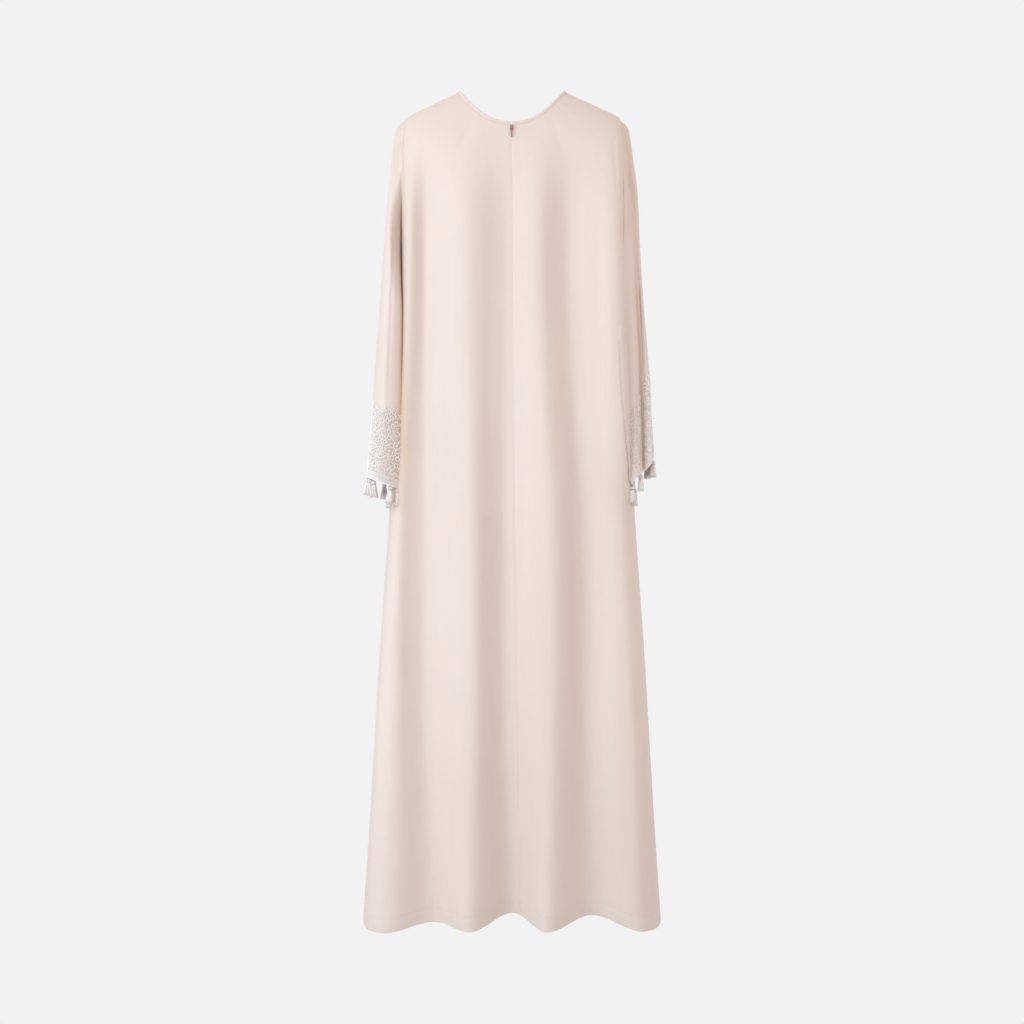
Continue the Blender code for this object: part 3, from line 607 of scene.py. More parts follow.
def fold_values(folds, column, drop):
    """One value of every fold at a drop: columns 0 for its place and 3 for its rise."""
    chest, hip, hem = FOLD_DROPS
    values = []
    for fold in folds:
        if drop < hip:
            share = smooth((drop - chest) / (hip - chest))
            values.append(mix(fold[column], fold[column + 1], share))
        else:
            share = ((drop - hip) / (hem - hip)) ** 2
            values.append(mix(fold[column + 1], fold[column + 2], min(1.0, share)))
    return values


def between_folds(places, values, across):
    """Soft wave through the folds, level at each ridge and valley."""
    if across <= places[0] or across >= places[-1]:
        edge = 0 if across <= places[0] else -1
        return values[edge]
    for index in range(len(places) - 1):
        if across <= places[index + 1]:
            share = (across - places[index]) / (places[index + 1] - places[index])
            return mix(values[index], values[index + 1], smooth(share))
    return values[-1]


def fold_rise(folds, across, drop):
    places = fold_values(folds, 0, drop)
    rises = fold_values(folds, 3, drop)
    strength = smooth((drop - FOLD_START) / (FOLD_FULL - FOLD_START))
    return strength * between_folds(places, rises, across)


def hem_lift(folds, across):
    places = [fold[2] for fold in folds]
    lifts = [fold[6] for fold in folds]
    return between_folds(places, lifts, across)


def crease_rise(creases, place, drop, turn=None):
    """Sum of the lesser creases at a place. turn is a full turn where places are angles."""
    total = 0.0
    for top, top_drop, low, low_drop, half, rise in creases:
        share = (drop - top_drop) / (low_drop - top_drop)
        if share <= 0.0 or share >= 1.0:
            continue
        away = place - mix(top, low, share)
        if turn:
            away = (away + turn / 2) % turn - turn / 2
        if abs(away) >= 2.0 * half:
            continue
        across = 0.5 + 0.5 * math.cos(math.pi * away / (2.0 * half))
        along = math.sin(math.pi * share) ** CREASE_END_POWER
        total += rise * along * across ** CREASE_POWER
    return total


def shoulder_drop(across):
    """Drop of the shoulder line."""
    return SHOULDER_SLOPE * (abs(across) - RIDGE_START)


def neck_drop(across, deepest):
    """Drop of the neckline inside the neck's width."""
    start = shoulder_drop(NECK_HALF)
    share = min(1.0, abs(across) / NECK_HALF)
    return start + (deepest - start) * (1.0 - share ** NECK_CURVE)


def body_edge(drop):
    """Half width of a panel: to the side seam, or to the armhole above the underarm."""
    width = body_at(drop)["half_width"]
    if drop >= UNDERARM:
        return width
    share = min(1.0, (UNDERARM - drop) / (UNDERARM - SHOULDER_POINT))
    return width - ARMHOLE_HOLLOW * math.sqrt(math.sin(math.pi * share))


def spread(share):
    """Fraction of the half width at a column: even at the neck, by angle towards the side."""
    columns = NECK_COLUMNS + SIDE_COLUMNS
    place = share * columns
    if place <= NECK_COLUMNS:
        return NECK_FRACTION * place / NECK_COLUMNS
    start = math.asin(NECK_FRACTION)
    angle = mix(start, math.pi / 2, (place - NECK_COLUMNS) / SIDE_COLUMNS)
    return math.sin(angle)


def on_shoulder(fraction):
    """Whether a column ends at the shoulder, and not at the neckline."""
    return fraction >= NECK_FRACTION - 1e-6


def depth_at(across, drop, depth_name, folds):
    """How far the body stands out from the centre plane at a place."""
    sizes = body_at(drop)
    power = sizes["squareness"]
    if across > 0 and depth_name == "back_depth":
        power *= mix(RIGHT_FULLER, 1.0, smooth((drop - FULLER_END) / FULLER_FADE))
    ratio = min(1.0, abs(across) / sizes["half_width"])
    section = (1.0 - ratio ** power) ** (1.0 / power)
    rounding = mix(NECK_ROUNDING, SHOULDER_ROUNDING, ratio)
    below = min(1.0, max(0.0, (drop - shoulder_drop(across)) / rounding))
    shoulder = (1.0 - (1.0 - below) ** ROUNDING_POWER) ** (1.0 / ROUNDING_POWER)
    fade = smooth((1.0 - ratio) / SIDE_FADE)
    rise = fold_rise(folds, across, drop) * fade
    return (sizes[depth_name] + rise) * section * shoulder


class BodyHalf:
    """The back or the front of the body as a surface of two numbers.

    along runs from -1 at the left side to 1 at the right side, up runs from 0 at the hem
    through 1 at the underarm to 2 at the neck or the shoulder.
    """

    def __init__(self, facing, depth_name, folds, neck, has_seam):
        self.facing = facing
        self.depth_name = depth_name
        self.folds = folds
        self.neck = neck
        self.has_seam = has_seam

    def centre(self, drop):
        if not self.has_seam:
            return 0.0
        return read_table(CENTRE_BACK, CENTRE_BACK_NAMES, drop)["across"]

    def across(self, along, drop):
        side = 1.0 if along >= 0 else -1.0
        fraction = spread(abs(along))
        return mix(self.centre(drop), side * body_edge(drop), fraction)

    def top(self, along):
        """Drop of the upper end of a column."""
        fraction = spread(abs(along))
        if on_shoulder(fraction):
            share = (fraction - NECK_FRACTION) / (1.0 - NECK_FRACTION)
            return mix(shoulder_drop(NECK_HALF), SHOULDER_POINT, share)
        return neck_drop(fraction / NECK_FRACTION * NECK_HALF, self.neck)

    def point(self, along, up):
        if up <= 1.0:
            lift = hem_lift(self.folds, self.across(along, HEM)) * smooth(1.0 - up / LIFT_REACH)
            drop = mix(HEM - lift, UNDERARM, up)
            across = self.across(along, drop)
        else:
            drop = mix(UNDERARM, self.top(along), math.sin((up - 1.0) * math.pi / 2))
            across = self.across_top(along, drop, up)
        on_ridge = up >= 2.0 and on_shoulder(spread(abs(along)))
        depth = 0.0 if on_ridge else depth_at(across, drop, self.depth_name, self.folds)
        return Vector((across, self.facing * (depth + SEAM / 2), -drop))

    def across_top(self, along, drop, up):
        """Above the underarm the neck column moves to the neck point."""
        side = 1.0 if along >= 0 else -1.0
        fraction = spread(abs(along))
        edge = body_edge(drop)
        neck = mix(edge * NECK_FRACTION, NECK_HALF, smooth(up - 1.0))
        if fraction <= NECK_FRACTION:
            across = fraction / NECK_FRACTION * neck
        else:
            across = mix(neck, edge, (fraction - NECK_FRACTION) / (1.0 - NECK_FRACTION))
        return side * across + self.centre(drop) * (1.0 - min(1.0, across / neck))


def body_side(side, drop, depth):
    """Half width of the body at a depth in front of or behind the centre plane."""
    folds = BACK_FOLDS if depth < 0 else FRONT_FOLDS
    name = "back_depth" if depth < 0 else "front_depth"
    far = body_at(drop)["half_width"]
    near = far * SIDE_FROM
    if depth_at(side * near, drop, name, folds) < abs(depth):
        return near
    for _ in range(SIDE_TRIES):
        middle = (near + far) / 2
        if depth_at(side * middle, drop, name, folds) > abs(depth):
            near = middle
        else:
            far = middle
    return far


def sleeve_outline(table, drop, groove):
    """Points of a sleeve's section at a drop, as angle, distance from the centre and depth."""
    size = read_table(table, SLEEVE_NAMES, drop)
    outer = size["outer"]
    inner = size["inner"]
    back = size["back"]
    front = size["front"]
    middle = (outer + inner) / 2
    if groove is None:
        lobe = [
            (45.0, mix(middle, outer, 0.80), back * 0.66),
            (67.5, mix(middle, outer, 0.36), back * 0.93),
            (90.0, middle, back),
            (112.5, mix(middle, inner, 0.50), back * 0.96),
        ]
    else:
        cut = read_table(groove, GROOVE_NAMES, drop)
        place = cut["across"]
        half = cut["half_width"]
        tip = cut["outer_lobe"]
        lap = read_table(LAP, LAP_NAMES, drop)["reach"]
        lobe = [
            (22.5, mix(place, outer, 0.96), tip * 0.66),
            (33.75, mix(place + half, outer, 0.80), tip * 0.93),
            (45.0, mix(place + half, outer, 0.45), tip),
            (56.25, place + half, tip * 0.93),
            (67.5, place + half * 0.75, cut["bottom"]),
            (78.75, place - half * 0.75, cut["bottom"]),
            (90.0, place - half, back * 0.92),
            (101.25, mix(place - half, lap, 0.35), back),
            (112.5, mix(place - half, lap, 0.80), back * 0.985),
            (117.0, lap, back * 0.96),
        ]
    return [
        (0.0, outer, -0.002 if groove is None else 0.010),
        *lobe,
        (123.75, inner + 0.001, back * 0.86),
        (146.25, inner, back * 0.58),
        (180.0, inner, back * 0.05),
        (213.75, inner, front * 0.62),
        (247.5, mix(middle, inner, 0.70), front * 0.93),
        (270.0, mix(middle, outer, 0.16), front),
        (292.5, mix(middle, outer, 0.72), front * 0.94),
        (326.25, mix(middle, outer, 0.94), front * 0.60),
    ]


def round_curve(outline, angle):
    """Smooth closed curve through an outline's points, read by angle."""
    count = len(outline)
    row = 0
    while row < count - 1 and angle >= outline[row + 1][0]:
        row += 1
    places = []
    for step in (-1, 0, 1, 2):
        turn, index = divmod(row + step, count)
        entry = outline[index]
        places.append((entry[0] + 360.0 * turn, entry[1], entry[2]))
    return curve_values(places, angle, (1, 2))


class Sleeve:
    """A sleeve as a surface of an angle round it and a share down it.

    Angle 0 is its outer face, 90 its back edge, 180 the face against the body and 270 its
    front edge. side is 1 for the wearer's right.
    """

    def __init__(self, side, table, groove, cuff, halves):
        self.side = side
        self.table = table
        self.groove = groove
        self.cuff = cuff
        ups = [1.0 + row / YOKE_ROWS for row in range(YOKE_ROWS + 1)]
        self.back_edge = [halves[0].point(side, up) for up in ups]
        self.front_edge = [halves[1].point(side, up) for up in ups]

    def armhole(self, angle):
        """Point of the armhole seam, on the panel's own edge."""
        turn = math.radians(angle)
        middle = (UNDERARM + SHOULDER_POINT) / 2
        reach = (UNDERARM - SHOULDER_POINT) / 2
        drop = middle - reach * math.cos(turn)
        edge = self.back_edge if angle < 180 else self.front_edge
        row = 0
        while row < len(edge) - 2 and drop < -edge[row + 1].z:
            row += 1
        low = edge[row]
        high = edge[row + 1]
        share = min(1.0, max(0.0, (-low.z - drop) / (high.z - low.z)))
        seam = low.lerp(high, share)
        depth = 0.0 if angle in (0.0, 180.0) else seam.y
        return abs(seam.x) + SEAM, depth, -seam.z

    def cuff_drop(self, across):
        size = read_table(self.table, SLEEVE_NAMES, self.cuff[1])
        share = (size["outer"] - across) / (size["outer"] - size["inner"])
        return mix(self.cuff[0], self.cuff[1], min(1.0, max(0.0, share)))

    def clear(self, across, depth, drop, below_seam):
        """Push a point out of the body, by more the further it is below the armhole."""
        far = smooth((drop - UNDERARM) / (CUFF_LEFT[1] - UNDERARM))
        full = mix(SLEEVE_CLEARANCE, CUFF_CLEARANCE, far)
        room = mix(SEAM, full, min(1.0, below_seam / CLEARANCE_GROWS))
        limit = body_side(self.side, drop, depth) + room
        soft = SOFT_PUSH * min(1.0, below_seam / CLEARANCE_GROWS)
        return (across + limit + math.hypot(across - limit, soft)) / 2

    def laid_on_back(self, across, depth, drop):
        """Depth of the cloth that laps over the back: on it, never inside it."""
        under = depth_at(self.side * across, drop, "back_depth", BACK_FOLDS)
        return -max(-depth, under + LAP_CLEARANCE)

    def column(self, angle, downs):
        """Points down the sleeve at one angle."""
        seam_across, seam_depth, seam_drop = self.armhole(angle)
        end_outline = sleeve_outline(self.table, self.cuff[1], self.groove)
        end = self.cuff_drop(round_curve(end_outline, angle)[0])
        turned = min(angle, 360.0 - angle)
        reach = mix(HEAD_REACH, FULL_REACH, smooth((turned - HEAD_ANGLE) / HEAD_FADE))
        swell = FOLDED_SWELL if self.groove else PLAIN_SWELL
        points = []
        for down in downs:
            drop = mix(seam_drop, end, down)
            section = round_curve(sleeve_outline(self.table, drop, self.groove), angle)
            below = drop - seam_drop
            across = mix(seam_across, section[0], smooth(below / reach))
            depth = mix(seam_depth, section[1], smooth(below / swell))
            if below > 0 and self.groove and LAP_ANGLES[0] < angle < LAP_ANGLES[1]:
                depth = self.laid_on_back(across, depth, drop)
            elif below > 0:
                across = self.clear(across, depth, drop, below)
            points.append((self.side * across, depth, -drop))
        return points


def spaced(steps, near_ends):
    """Shares from 0 to 1, with a few more close to either end."""
    shares = {index / steps for index in range(steps + 1)}
    shares |= set(near_ends)
    shares |= {1.0 - share for share in near_ends}
    return sorted(shares)


def grid_normals(grid, closed):
    """Unit normals of a grid of points, along its columns crossed with along its rows."""
    if closed:
        across = np.roll(grid, -1, axis=1) - np.roll(grid, 1, axis=1)
    else:
        across = np.gradient(grid, axis=1)
    along = np.gradient(grid, axis=0)
    normals = np.cross(across, along)
    length = np.linalg.norm(normals, axis=2, keepdims=True)
    return normals / np.maximum(length, 1e-12)


def edge_distances(grid, axis):
    """Distance along the cloth of every point from the first and from the last of its line."""
    steps = np.linalg.norm(np.diff(grid, axis=axis), axis=2)
    pad = [(0, 0), (0, 0)]
    pad[axis] = (1, 0)
    from_start = np.pad(np.cumsum(steps, axis=axis), pad)
    total = from_start[:, -1:] if axis == 1 else from_start[-1:, :]
    return from_start, total - from_start


def seam_dip(distance, height):
    """How far the cloth sinks beside a seam, with a light pucker along it."""
    groove = SEAM_ROLL_DEEP * np.exp(-((distance / SEAM_ROLL_WIDE) ** 2))
    short, long, fine = PUCKER_WAVES
    ripple = np.sin(height * short + 1.3) * np.sin(height * long) + 0.4 * np.sin(height * fine)
    pucker = PUCKER * ripple * np.exp(-((distance / PUCKER_WIDE) ** 2))
    return groove + pucker


def add_object(name, data):
    thing = bpy.data.objects.new(name, data)
    bpy.context.scene.collection.objects.link(thing)
    return thing


def add_piece(name, mesh, material):
    """Link a piece, give it its material and tie it to its body."""
    thing = add_object(name, mesh)
    mesh.materials.append(material)
    mesh.shade_smooth()
    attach(thing, GARMENT)
    return thing


def edge_wall(start, end, shift):
    """Quads that join an edge of the outer grid to the same edge of the inner one."""
    return np.stack([start, end, end + shift, start + shift], axis=-1)


def shell_mesh(name, outer, inner, closed, flip):
    """Thin closed shell between two grids of points."""
    rows, columns = outer.shape[:2]
    points = np.concatenate([outer.reshape(-1, 3), inner.reshape(-1, 3)])
    shift = rows * columns
    index = np.arange(shift).reshape(rows, columns)
    here = index if closed else index[:, :-1]
    after = np.roll(index, -1, axis=1) if closed else index[:, 1:]
    face = np.stack([here[:-1], after[:-1], after[1:], here[1:]], axis=-1).reshape(-1, 4)
    faces = [face, face[:, ::-1] + shift]
    faces.append(edge_wall(after[0], here[0], shift))
    faces.append(edge_wall(here[-1], after[-1], shift))
    if not closed:
        left = index[:, 0]
        right = index[:, -1]
        faces.append(edge_wall(left[:-1], left[1:], shift))
        faces.append(edge_wall(right[1:], right[:-1], shift))
    faces = np.concatenate(faces)
    if flip:
        faces = faces[:, ::-1]
    mesh = bpy.data.meshes.new(name)
    mesh.from_pydata(points.tolist(), [], faces.tolist())
    mesh.validate()
    mesh.shade_smooth()
    mesh.set_sharp_from_angle(angle=math.radians(SHARP_ANGLE))
    return mesh


def mark_points(mesh, name, values):
    """Store one number at every point of a mesh for its material."""
    attribute = mesh.attributes.new(name, "FLOAT", "POINT")
    attribute.data.foreach_set("value", np.asarray(values, dtype=np.float32).ravel())


def panel_alongs(start, end):
    shares = spaced(PANEL_STEPS, SEAM_STEPS)
    left = [-share for share in reversed(shares)]
    if end == 0:
        return left
    if start == 0:
        return shares
    return left[:-1] + shares


def panel_ups():
    """Rows from the hem to the underarm and on to the top, closer together at the hem."""
    reach = HEM - UNDERARM
    ups = [step / reach for step in HEM_STEPS]
    first = ups[-1]
    ups += [mix(first, 1.0, (row + 1) / PANEL_ROWS) for row in range(PANEL_ROWS)]
    ups += [1.0 + (row + 1) / YOKE_ROWS for row in range(YOKE_ROWS)]
    return ups


def panel_grid(half, creases, start, end, seam_side):
    """Outer points of a panel with its creases, its seams sunk a little, and its hem rolled."""
    alongs = panel_alongs(start, end)
    ups = panel_ups()
    grid = np.array([[tuple(half.point(along, up)) for along in alongs] for up in ups])
    outward = grid_normals(grid, False) * -half.facing
    height = grid[:, :, 2]
    rise = np.zeros(height.shape)
    for row in range(len(ups)):
        edge = body_edge(-height[row, 0])
        for column in range(len(alongs)):
            across = grid[row, column, 0]
            value = crease_rise(creases, across, -height[row, column])
            rise[row, column] = value * smooth((edge - abs(across)) / CREASE_EDGE)
    from_first, from_last = edge_distances(grid, 1)
    above = np.array([smooth((up - 1.0) / ARMHOLE_START) for up in ups])
    flat = 1.0 - (1.0 - ARMHOLE_DIP) * above
    first = flat if start < 0 else np.ones(len(ups))
    last = flat if end > 0 else np.ones(len(ups))
    first_dip = seam_dip(from_first, height) * first[:, None]
    last_dip = seam_dip(from_last, height) * last[:, None]
    rise -= first_dip + last_dip
    shoulder = np.array([on_shoulder(spread(abs(along))) for along in alongs])
    from_hem, from_top = edge_distances(grid, 0)
    rise -= seam_dip(from_top, grid[:, :, 0]) * shoulder[None, :]
    rise -= HEM_GROOVE * np.exp(-(((from_hem - HEM_DEEP) / HEM_GROOVE_WIDE) ** 2))
    grid = grid + outward * rise[:, :, None]
    if seam_side:
        column = 0 if start == 0 else -1
        grid[:, column, 0] += seam_side * SEAM_CLOSED / 2
    return grid, from_hem


def cloth_thickness(from_hem):
    """The hem is folded up, so the cloth is double there."""
    share = np.clip((HEM_DEEP + HEM_EDGE - from_hem) / (2.0 * HEM_EDGE), 0.0, 1.0)
    return CLOTH_THICK + (HEM_THICK - CLOTH_THICK) * share


def cloth_mesh(name, grid, inward, from_hem, closed, flip):
    """Cloth with its thickness and a rolled hem: a panel's first row, a closed sleeve's last."""
    inner = grid + inward * cloth_thickness(from_hem)[:, :, None]
    outer = grid.copy()
    hem = -1 if closed else 0
    outer[hem] = grid[hem] * (1.0 - HEM_ROLL) + inner[hem] * HEM_ROLL
    inner[hem] = inner[hem] * (1.0 - HEM_ROLL) + grid[hem] * HEM_ROLL
    return shell_mesh(name, outer, inner, closed, flip)


def make_panel(name, node, half, creases, start, end, seam_side, material):
    grid, from_hem = panel_grid(half, creases, start, end, seam_side)
    inward = grid_normals(grid, False) * half.facing
    mesh = cloth_mesh(name, grid, inward, from_hem, False, half.facing > 0)
    band = np.clip((HEM_DEEP - from_hem) / BAND_EDGE, 0.0, 1.0)
    mark_points(mesh, "band", np.tile(band.ravel(), 2))
    # Painted shade, warm in colour, on the back beside the left sleeve
    mark_points(mesh, "valley", np.tile(painted_valley_shade(grid, BACK_PAINTED_SHADE).ravel(), 2))
    piece = add_piece(name, mesh, material)
    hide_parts(node)


def make_body(back, front, crepe):
    """The two halves of the back and the front."""
    plan = [
        # name, node, half, creases, start, end, seam side
        ("back_left_cloth", "back_left", back, BACK_CREASES, -1, 0, -1.0),
        ("back_right_cloth", "back_right", back, BACK_CREASES, 0, 1, 1.0),
        ("front_cloth", "front", front, FRONT_CREASES, -1, 1, 0.0),
    ]
    for row in plan:
        make_panel(*row, crepe)


def sleeve_downs():
    """Rows down a sleeve, closer together near the shoulder and at the cuff."""
    rows = [(row / SLEEVE_ROWS) ** SLEEVE_ROW_POWER for row in range(SLEEVE_ROWS)]
    return rows + [1.0 - step for step in CUFF_STEPS]


def smooth_underarm(grid):
    """Ease the cloth where it leaves the armhole, without moving the seam."""
    height = grid[:, :, 2]
    weight = np.exp(-(((height + UNDERARM - EASE_LIFT) / EASE_WIDE) ** 2))
    rows = np.arange(len(grid))
    weight *= np.clip(rows / EASE_ROWS, 0.0, 1.0)[:, None]
    eased = grid.copy()
    for _ in range(EASING):
        mean = (np.roll(eased, 1, axis=1) + np.roll(eased, -1, axis=1)) / 2
        mean[1:-1] = mean[1:-1] / 2 + (eased[:-2] + eased[2:]) / 4
        eased += (mean - eased) * weight[:, :, None] * 0.5
    return eased


def sleeve_grid(sleeve, creases):
    """Outer points of a sleeve with its creases and its seams sunk a little."""
    angles = [360.0 * index / SLEEVE_COLUMNS for index in range(SLEEVE_COLUMNS)]
    downs = sleeve_downs()
    columns = [sleeve.column(angle, downs) for angle in angles]
    grid = np.array(columns).transpose(1, 0, 2)
    grid = smooth_underarm(grid)
    outward = grid_normals(grid, True) * sleeve.side
    height = grid[:, :, 2]
    from_seam, from_cuff = edge_distances(grid, 0)
    rise = np.zeros(height.shape)
    for column, angle in enumerate(angles):
        for row in range(len(downs)):
            rise[row, column] = crease_rise(creases, angle, -height[row, column], 360.0)
    rise *= np.clip(from_seam / CREASE_EDGE, 0.0, 1.0)
    rise -= ARMHOLE_DIP * seam_dip(from_seam, height)
    return grid + outward * rise[:, :, None], from_cuff


def is_bare(angle, bare):
    return any(start < angle < end for start, end in bare)


def painted_valley_shade(grid, lines):
    """Share of painted shade at each point of a grid, 0 to 1, strongest on a narrow valley's line.
    """
    share = np.zeros(grid.shape[:2])
    for side, table, wide, strength in lines:
        drops = -grid[:, :, 2]
        marks, places, strengths = zip(*table)
        away = (side * grid[:, :, 0] - np.interp(drops, marks, places)) / wide
        here = np.exp(-(away ** 2)) * strength * np.interp(drops, marks, strengths)
        starts = np.clip((drops - marks[0]) / VALLEY_START, 0.0, 1.0)
        ends = np.clip((marks[-1] - drops) / VALLEY_END, 0.0, 1.0)
        here *= starts * ends
        here[grid[:, :, 1] > VALLEY_BACK] = 0.0
        share = np.maximum(share, here)
    return np.minimum(share, 1.0)


def bead_ground_cover(from_cuff, tops, bare):
    """Where the bead work's ground, partly painted shade, lies, 0 to 1, at every point of a sleeve's
    grid.
    """
    cover = np.zeros(from_cuff.shape)
    columns = from_cuff.shape[1]
    for column in range(columns):
        angle = 360.0 * column / columns
        if is_bare(angle, bare):
            continue
        top = round_height(tops, angle)
        cover[:, column] = np.clip((top - from_cuff[:, column]) / BEAD_GROUND_EDGE, 0.0, 1.0)
    return cover


def make_sleeve(name, node, sleeve, creases, tops, bare, ground_shade, material):
    grid, from_cuff = sleeve_grid(sleeve, creases)
    outward = grid_normals(grid, True) * sleeve.side
    mesh = cloth_mesh(name, grid, -outward, from_cuff, True, sleeve.side < 0)
    # Greyer ground under the bead work, on the outer face: partly its own tone, partly painted shade
    cover = bead_ground_cover(from_cuff, tops, bare).ravel() * ground_shade
    mark_points(mesh, "ground_shade", np.concatenate([cover, np.zeros(len(cover))]))
    # Painted shade where the left sleeve meets the back and in the right sleeve's fold
    mark_points(mesh, "valley", np.tile(painted_valley_shade(grid, SLEEVE_PAINTED_SHADE).ravel(), 2))
    piece = add_piece(name, mesh, material)
    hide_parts(node)
    return SleeveSkin(grid, outward)


def line_marks(points):
    """Distance along a line to each of its points."""
    steps = np.linalg.norm(np.diff(points, axis=0), axis=1)
    return np.concatenate([[0.0], np.cumsum(steps)])


def read_line(place, marks, points):
    """Point at a distance along a line."""
    return np.array([np.interp(place, marks, points[:, axis]) for axis in range(3)])


class SleeveSkin:
    """The outer face of a sleeve, read by the way round its cuff and the way up from it."""

    def __init__(self, grid, outward):
        self.grid = grid
        self.outward = outward
        self.round = line_marks(np.concatenate([grid[-1], grid[-1][:1]]))
        self.length = float(self.round[-1])
        ups = np.linalg.norm(np.diff(grid, axis=0), axis=2)[::-1]
        self.up = np.concatenate([np.zeros((1, grid.shape[1])), np.cumsum(ups, axis=0)])

    def column_at(self, way):
        """Column at a way round the cuff, with its fraction."""
        return float(np.interp(way % self.length, self.round, np.arange(len(self.round))))

    def angle(self, way):
        """Angle round the sleeve at a way round its cuff."""
        return self.column_at(way) * (360.0 / self.grid.shape[1])

    def column_place(self, column, height):
        """Point and outward direction in one column at a height above the cuff."""
        climbs = self.up[:, column]
        step = int(np.searchsorted(climbs, height, side="right")) - 1
        step = min(max(step, 0), len(climbs) - 2)
        share = (height - climbs[step]) / (climbs[step + 1] - climbs[step])
        low = len(climbs) - 1 - step
        high = low - 1
        point = self.grid[low, column] * (1.0 - share) + self.grid[high, column] * share
        normal = self.outward[low, column] * (1.0 - share) + self.outward[high, column] * share
        return point, normal

    def place(self, way, height):
        """Point of the cloth and its outward direction."""
        column = self.column_at(way)
        left = int(column) % self.grid.shape[1]
        right = (left + 1) % self.grid.shape[1]
        share = column - int(column)
        one, one_out = self.column_place(left, height)
        two, two_out = self.column_place(right, height)
        normal = one_out * (1.0 - share) + two_out * share
        return one * (1.0 - share) + two * share, normal / np.linalg.norm(normal)


def bead_form():
    """Points and faces of one round bead of unit width."""
    shape = bmesh.new()
    bmesh.ops.create_icosphere(shape, subdivisions=1, radius=0.5)
    shape.verts.ensure_lookup_table()
    points = np.array([tuple(spot.co) for spot in shape.verts])
    faces = np.array([[spot.index for spot in face.verts] for face in shape.faces])
    shape.free()
    return points, faces


class Beads:
    """Beads of one piece, gathered one by one and laid out as one mesh.

    along is the direction of a bead's length. Its size is its length, width and height.
    """

    def __init__(self):
        self.rows = []

    def add(self, place, outward, along, size, tone):
        self.rows.append((place, outward, along, size, tone))

    def mesh(self, name):
        points, faces = bead_form()
        places, outwards, alongs, sizes, tones = (np.array(column) for column in zip(*self.rows))
        alongs = alongs - outwards * np.sum(alongs * outwards, axis=1, keepdims=True)
        alongs = alongs / np.maximum(np.linalg.norm(alongs, axis=1, keepdims=True), 1e-9)
        sides = np.cross(outwards, alongs)
        frames = np.stack([alongs, sides, outwards], axis=1) * sizes[:, :, None]
        copies = np.einsum("pi,cij->cpj", points, frames) + places[:, None, :]
        shifts = np.arange(len(places)) * len(points)
        copied = (faces[None, :, :] + shifts[:, None, None]).reshape(-1, faces.shape[1])
        mesh = bpy.data.meshes.new(name)
        mesh.from_pydata(copies.reshape(-1, 3).tolist(), [], copied.tolist())
        mesh.shade_smooth()
        mark_points(mesh, "tone", np.repeat(tones, len(points)))
        return mesh


class BeadField:
    """Beads laid on the flat cuff, kept apart from each other. Ways wrap round the cuff."""

    def __init__(self, length):
        self.length = length
        self.cells = max(1, int(length / FIELD_CELL))
        self.cell = length / self.cells
        self.table = {}
        self.beads = []

    def nearest(self, way, height, reach):
        """Distance to the nearest bead, or reach where none is closer."""
        steps = int(math.ceil(reach / self.cell))
        column = int((way % self.length) / self.cell)
        row = int(height // self.cell)
        best = reach
        for down in range(row - steps, row + steps + 1):
            for over in range(column - steps, column + steps + 1):
                for other_way, other_height in self.table.get((over % self.cells, down), ()):
                    apart = (way - other_way + self.length / 2) % self.length - self.length / 2
                    best = min(best, math.hypot(apart, height - other_height))
        return best

    def add(self, way, height, size, tone):
        way %= self.length
        cell = (int(way / self.cell) % self.cells, int(height // self.cell))
        self.table.setdefault(cell, []).append((way, height))
        self.beads.append((way, height, size, tone))

    def sew_line(self, points, size, tone):
        """Touching beads along a line of points, left out where another line crosses."""
        travelled = 0.0
        for (way, height), (next_way, next_height) in zip(points, points[1:]):
            length = math.hypot(next_way - way, next_height - height)
            if length == 0:
                continue
            while travelled <= length:
                share = travelled / length
                spot = (mix(way, next_way, share), mix(height, next_height, share))
                if self.nearest(*spot, size) >= size * BEAD_APART:
                    self.add(*spot, size, tone)
                travelled += size
            travelled -= length


def ring_line(way, height, radius):
    turns = [2.0 * math.pi * index / RING_STEPS for index in range(RING_STEPS + 1)]
    return [(way + radius * math.cos(turn), height + radius * math.sin(turn)) for turn in turns]


def leaf_line(way, height, heading, length, width):
    """Outline of a pointed leaf from its foot. A heading of 0 points up."""
    line = []
    shares = [index / LEAF_STEPS for index in range(LEAF_STEPS + 1)]
    for side, reached in ((1.0, shares), (-1.0, shares[::-1])):
        for share in reached:
            out = side * width / 2 * math.sin(math.pi * share ** LEAF_POWER)
            up = length * share
            over = way + up * math.sin(heading) + out * math.cos(heading)
            line.append((over, height + up * math.cos(heading) - out * math.sin(heading)))
    return line


def scroll_line(way, height, heading, size, side):
    """A stalk that leaves at a heading and winds up on itself."""
    line = [(way, height)]
    radius = size
    while radius > size * SCROLL_END:
        heading += side * SCROLL_STEP / radius
        radius *= SCROLL_WINDS
        way += SCROLL_STEP * math.sin(heading)
        height += SCROLL_STEP * math.cos(heading)
        line.append((way, height))
    return line


def vine_line(way, top, sway, phase):
    line = []
    for index in range(VINE_STEPS + 1):
        share = index / VINE_STEPS
        lean = sway * math.sin(2.0 * math.pi * VINE_WAVES * share + phase)
        line.append((way + lean, mix(VINE_FOOT, top, share)))
    return line


def sew_border(field, chance):
    """Two rows along the cuff with a row of small rings on them."""
    for height in BORDER_ROWS:
        field.sew_line([(0.0, height), (field.length, height)], BEAD, BORDER_TONE)
    count = round(field.length / BORDER_PITCH)
    for index in range(count):
        way = field.length * (index + 0.5) / count
        ring = ring_line(way, BORDER_MIDDLE, BORDER_RING)
        field.sew_line(ring, BEAD_SMALL, chance.uniform(*BORDER_RING_TONES))


